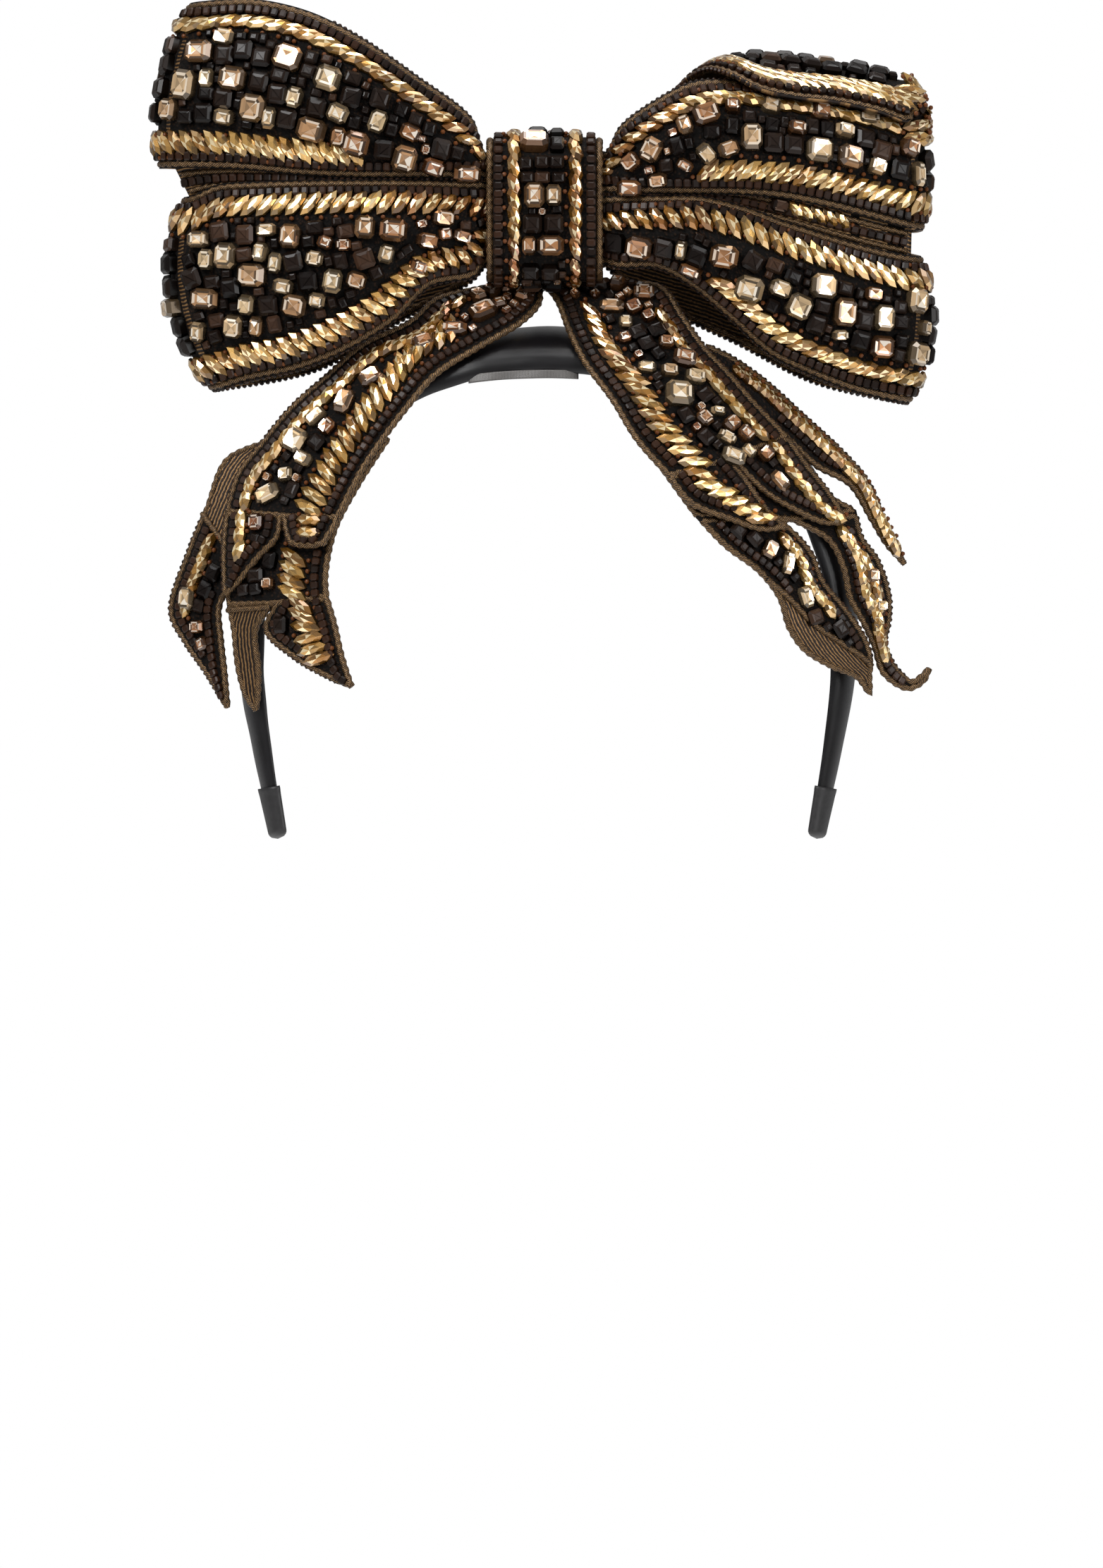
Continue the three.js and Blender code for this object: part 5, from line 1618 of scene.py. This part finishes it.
def drape_y(x, z):
    """How far forward the tails lie at x, z: they fall away in front of the band's rounded shoulders."""
    inwards = DRAPE["radius"] - np.hypot(x, z - DRAPE["centre_z"])
    return np.maximum(DRAPE["farthest"], DRAPE["outer_y"] - DRAPE["slope"] * inwards)


def tail_strip(rows, layer):
    """A stretch of tail as a ribbon whose top edge is on the head's side."""
    back = layer * TAIL_LAYER
    rows = [(a, back + d, z, b, back + e, c, 0, 0, 0) for a, z, b, c, d, e in rows]
    return make_ribbon(rows, 1.0, TAIL_THICK / 2, drape_y)


def tail_strips(tail):
    """The body of a tail and its leaves, each starting from its share of the body's last row."""
    strips = [tail_strip(tail["body"], tail["layer"])]
    in_x, in_z, out_x, out_z, back_in, back_out = tail["body"][-1]
    start = np.array([in_x, in_z, back_in])
    end = np.array([out_x, out_z, back_out])
    for number, leaf in enumerate(tail["leaves"]):
        share = 1 / len(tail["leaves"])
        a = start + (end - start) * number * share
        b = start + (end - start) * (number + 1) * share
        strips.append(tail_strip([(a[0], a[1], b[0], b[1], a[2], b[2]), *leaf], tail["layer"]))
    return strips


def nearest_on_strips(strips, x, z):
    """The strip of a tail, and the place on it, that is seen at x, z."""
    found = []
    for strip in strips:
        along, across = nearest_on_front(strip, x, z)
        place = ribbon_points(strip, [along], [across])[0]
        found.append((math.hypot(place[0] - x, place[2] - z), strip, along, across))
    return min(found, key=lambda item: item[0])[1:]


def is_bare(name, number, along, across):
    """Whether the bronze side shows at these shares of a tail's strip."""
    strip, x0, y0, x1, y1 = TAIL_FOLDS.get(name, (None, 0, 0, 0, 0))
    left = (x1 - x0) * (across - y0) - (y1 - y0) * (along - x0) > 0
    return left & (strip == number)


def rim_line(strips, inset):
    """The line just inside the whole outline of a tail, from the knot down and back up."""
    down, up = np.linspace(0, 1, 160), np.linspace(1, 0, 160)

    def edge(strip, along, side):
        return ribbon_points(strip, along, inset_across(strip, along, side, inset))

    body, *leaves = strips
    line = [edge(body, down, 0)]
    for leaf in leaves:
        line += [edge(leaf, down[4:], 0), edge(leaf, up[:-4], 1)]
    return np.vstack([*line, edge(body, up, 1)])


tails = {name: tail_strips(tail) for name, tail in TAILS.items()}
tail_samples, bare_samples = {}, {}
along, across = (grid.ravel() for grid in np.meshgrid(np.linspace(0, 1, 70), np.linspace(0.02, 0.98, 24)))
for name, strips in tails.items():
    seen = [ribbon_points(strip, along, across)[:, ::2] for strip in strips]
    tail_samples[name] = np.vstack(seen)
    bare_samples[name] = np.vstack([p[is_bare(name, i, along, across)] for i, p in enumerate(seen)])


def open_place(name):
    """A test of whether a place on a tail is neither under a tail in front of it nor on its bronze side."""
    layer = TAILS[name]["layer"]
    above = [tail_samples[other] for other in TAILS if TAILS[other]["layer"] < layer]
    if name == "tail_right_back":
        above.append(tail_samples["tail_right_outer"])
    above = np.vstack(above) if above else None
    bare = bare_samples[name]

    def test(place):
        if len(bare) and np.hypot(*(bare - place[::2]).T).min() < FOLD_FADE:
            return False
        return above is None or np.hypot(*(above - place[::2]).T).min() > TAIL_FADE

    return test


for name, strips in tails.items():
    body = strips[0]
    grids = []
    for number, strip in enumerate(strips):
        steps = max(int(strip["length"][-1] / TAIL_ROW), 6)
        grid = ribbon_grid(strip, steps, BODY_COLUMNS if number == 0 else LEAF_COLUMNS)
        uv = grid.loops.layers.uv["UVMap"]
        for face in grid.faces:
            length, aside = np.mean([loop[uv].uv[:] for loop in face.loops], axis=0)
            along = share_at(strip, length)
            across = 0.5 + aside / width_at(strip, along)
            face.material_index = int(is_bare(name, number, along, across))
        grids.append(grid)
    bm = grids[0]
    for grid in grids[1:]:
        absorb(bm, grid)
    bmesh.ops.remove_doubles(bm, verts=bm.verts, dist=0.05)
    bmesh.ops.recalc_face_normals(bm, faces=bm.faces)
    bm.normal_update()
    if ribbon_side(body, bm) < 0:
        bmesh.ops.reverse_faces(bm, faces=bm.faces)
    cloth = finish_piece(bm, name + "_cloth", [ground_cloth, lame])
    wrap_cloth(cloth, TAIL_THICK, edges=0)
    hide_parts(name)

    bm = lay_cord(rim_line(strips, 0.5), TAIL_CORD)
    if name in TAIL_FOLDS:
        number, *fold = TAIL_FOLDS[name]
        along, across = np.linspace(fold[:2], fold[2:], 60).T
        line, _, out = ribbon_frame(strips[number], along, across)
        absorb(bm, lay_cord(line + out * 0.8, THIN_CORD))
    cord = finish_piece(bm, name + "_cord", [piping_thread])

    setting = Setting(len(name) * 19 + len(strips))
    setting.open_at = open_place(name)
    for at, side, inset, slant_first, slant_last, pitch, first, last, long in TAIL_BORDERS[name]:
        # The body's navettes are darker near the knot: partly their own amber, partly painted shade.
        warm = (0.1, 0.6) if at == 0 else (0.6, 0.6)
        turns = (slant_first, slant_last)
        set_border(setting, strips[at], side, inset, turns, pitch, first, last, (long, 3.3, 2.1), warm)
    for x, z, *row in TAIL_STONES[name]:
        set_light_stone(setting, *nearest_on_strips(strips, x, z), row, TAIL_STONE_TALL)
    for number, strip in enumerate(strips):
        for side in (1,) if name == "tail_right_outer" else (0, 1):
            sew_string(setting, strip, side, *TAIL_BEADS, 0.01, 0.99, bead_tint)
        sew_string(setting, strip, 0, *EDGE_SEEDS, 0.02, 0.98, bead_tint, -0.8)
        near_knot = number == 0 and TAILS[name]["layer"] == 0
        split = NEAR_KNOT if near_knot else 0.02
        if near_knot:
            fill_field(setting, strip, 0.02, split, 0.0, NEAR_INSETS, 0.6, TAIL_DARK_STONES)
        fill_field(setting, strip, split, 0.98, 0.0, TAIL_INSETS, 0.25, TAIL_DARK_STONES)
    stones = setting.join(name + "_stones", "paved_ribbon")
    declare_sheet(strips)

# ---- The floor, the light and the camera ---------------------------------------------------------
# A pale flat sheet of paper, soft light from three large panels and a white room, and a long lens.
# Sizes here are in metres.

floor_paper, shader = new_material("white background paper, matt")
set_inputs(shader, {"Base Color": linear("#F4F4F4"), "Roughness": 0.9})
bm = bmesh.new()
bmesh.ops.create_grid(bm, x_segments=1, y_segments=1, size=0.9)
bmesh.ops.translate(bm, vec=(0, 0.1, -0.42), verts=bm.verts)
mesh = bpy.data.meshes.new("floor")
bm.to_mesh(mesh)
bm.free()
mesh.materials.append(floor_paper)
floor = add_object("floor", mesh)

ROOM_LIGHT = 0.42
bpy.context.scene.view_settings.view_transform = "Standard"
world = bpy.data.worlds.new("studio")
bpy.context.scene.world = world
world.use_nodes = True
# The room lights the bow at ROOM_LIGHT and is itself seen as plain white.
background = world.node_tree.nodes["Background"]
seen = world.node_tree.nodes.new("ShaderNodeBackground")
for node, strength in ((background, ROOM_LIGHT), (seen, 1.0)):
    set_inputs(node, {"Color": linear("#FFFFFF"), "Strength": strength})
path = world.node_tree.nodes.new("ShaderNodeLightPath")
mix = world.node_tree.nodes.new("ShaderNodeMixShader")
output = world.node_tree.nodes["World Output"]
for source, socket in (
    (path.outputs["Is Camera Ray"], mix.inputs["Fac"]),
    (background.outputs["Background"], mix.inputs[1]),
    (seen.outputs["Background"], mix.inputs[2]),
    (mix.outputs["Shader"], output.inputs["Surface"]),
):
    world.node_tree.links.new(source, socket)

# Each panel's place, side in metres and power in watts.
PANELS = [
    ("key panel", (-0.9, -1.3, 1.1), 0.8, 34.0),
    ("fill panel", (1.3, -1.2, 0.3), 0.9, 16.0),
    ("top panel", (0.1, -0.1, 1.5), 0.9, 18.0),
]
for name, place, side, power in PANELS:
    lamp = bpy.data.lights.new(name, "AREA")
    lamp.size = side
    lamp.energy = power
    panel = add_object(name, lamp)
    panel.location = place
    panel.rotation_euler = (Vector((0, 0, -0.02)) - Vector(place)).to_track_quat("-Z", "Y").to_euler()

CAMERA_AWAY = 2.5
VIEW_TALL = 0.4114
lens = bpy.data.cameras.new("camera")
lens.lens = 36 * CAMERA_AWAY / VIEW_TALL
camera = add_object("camera", lens)
camera.location = (0.0011, -CAMERA_AWAY, -0.1104)
camera.rotation_euler = (math.pi / 2, 0, 0)
bpy.context.scene.camera = camera
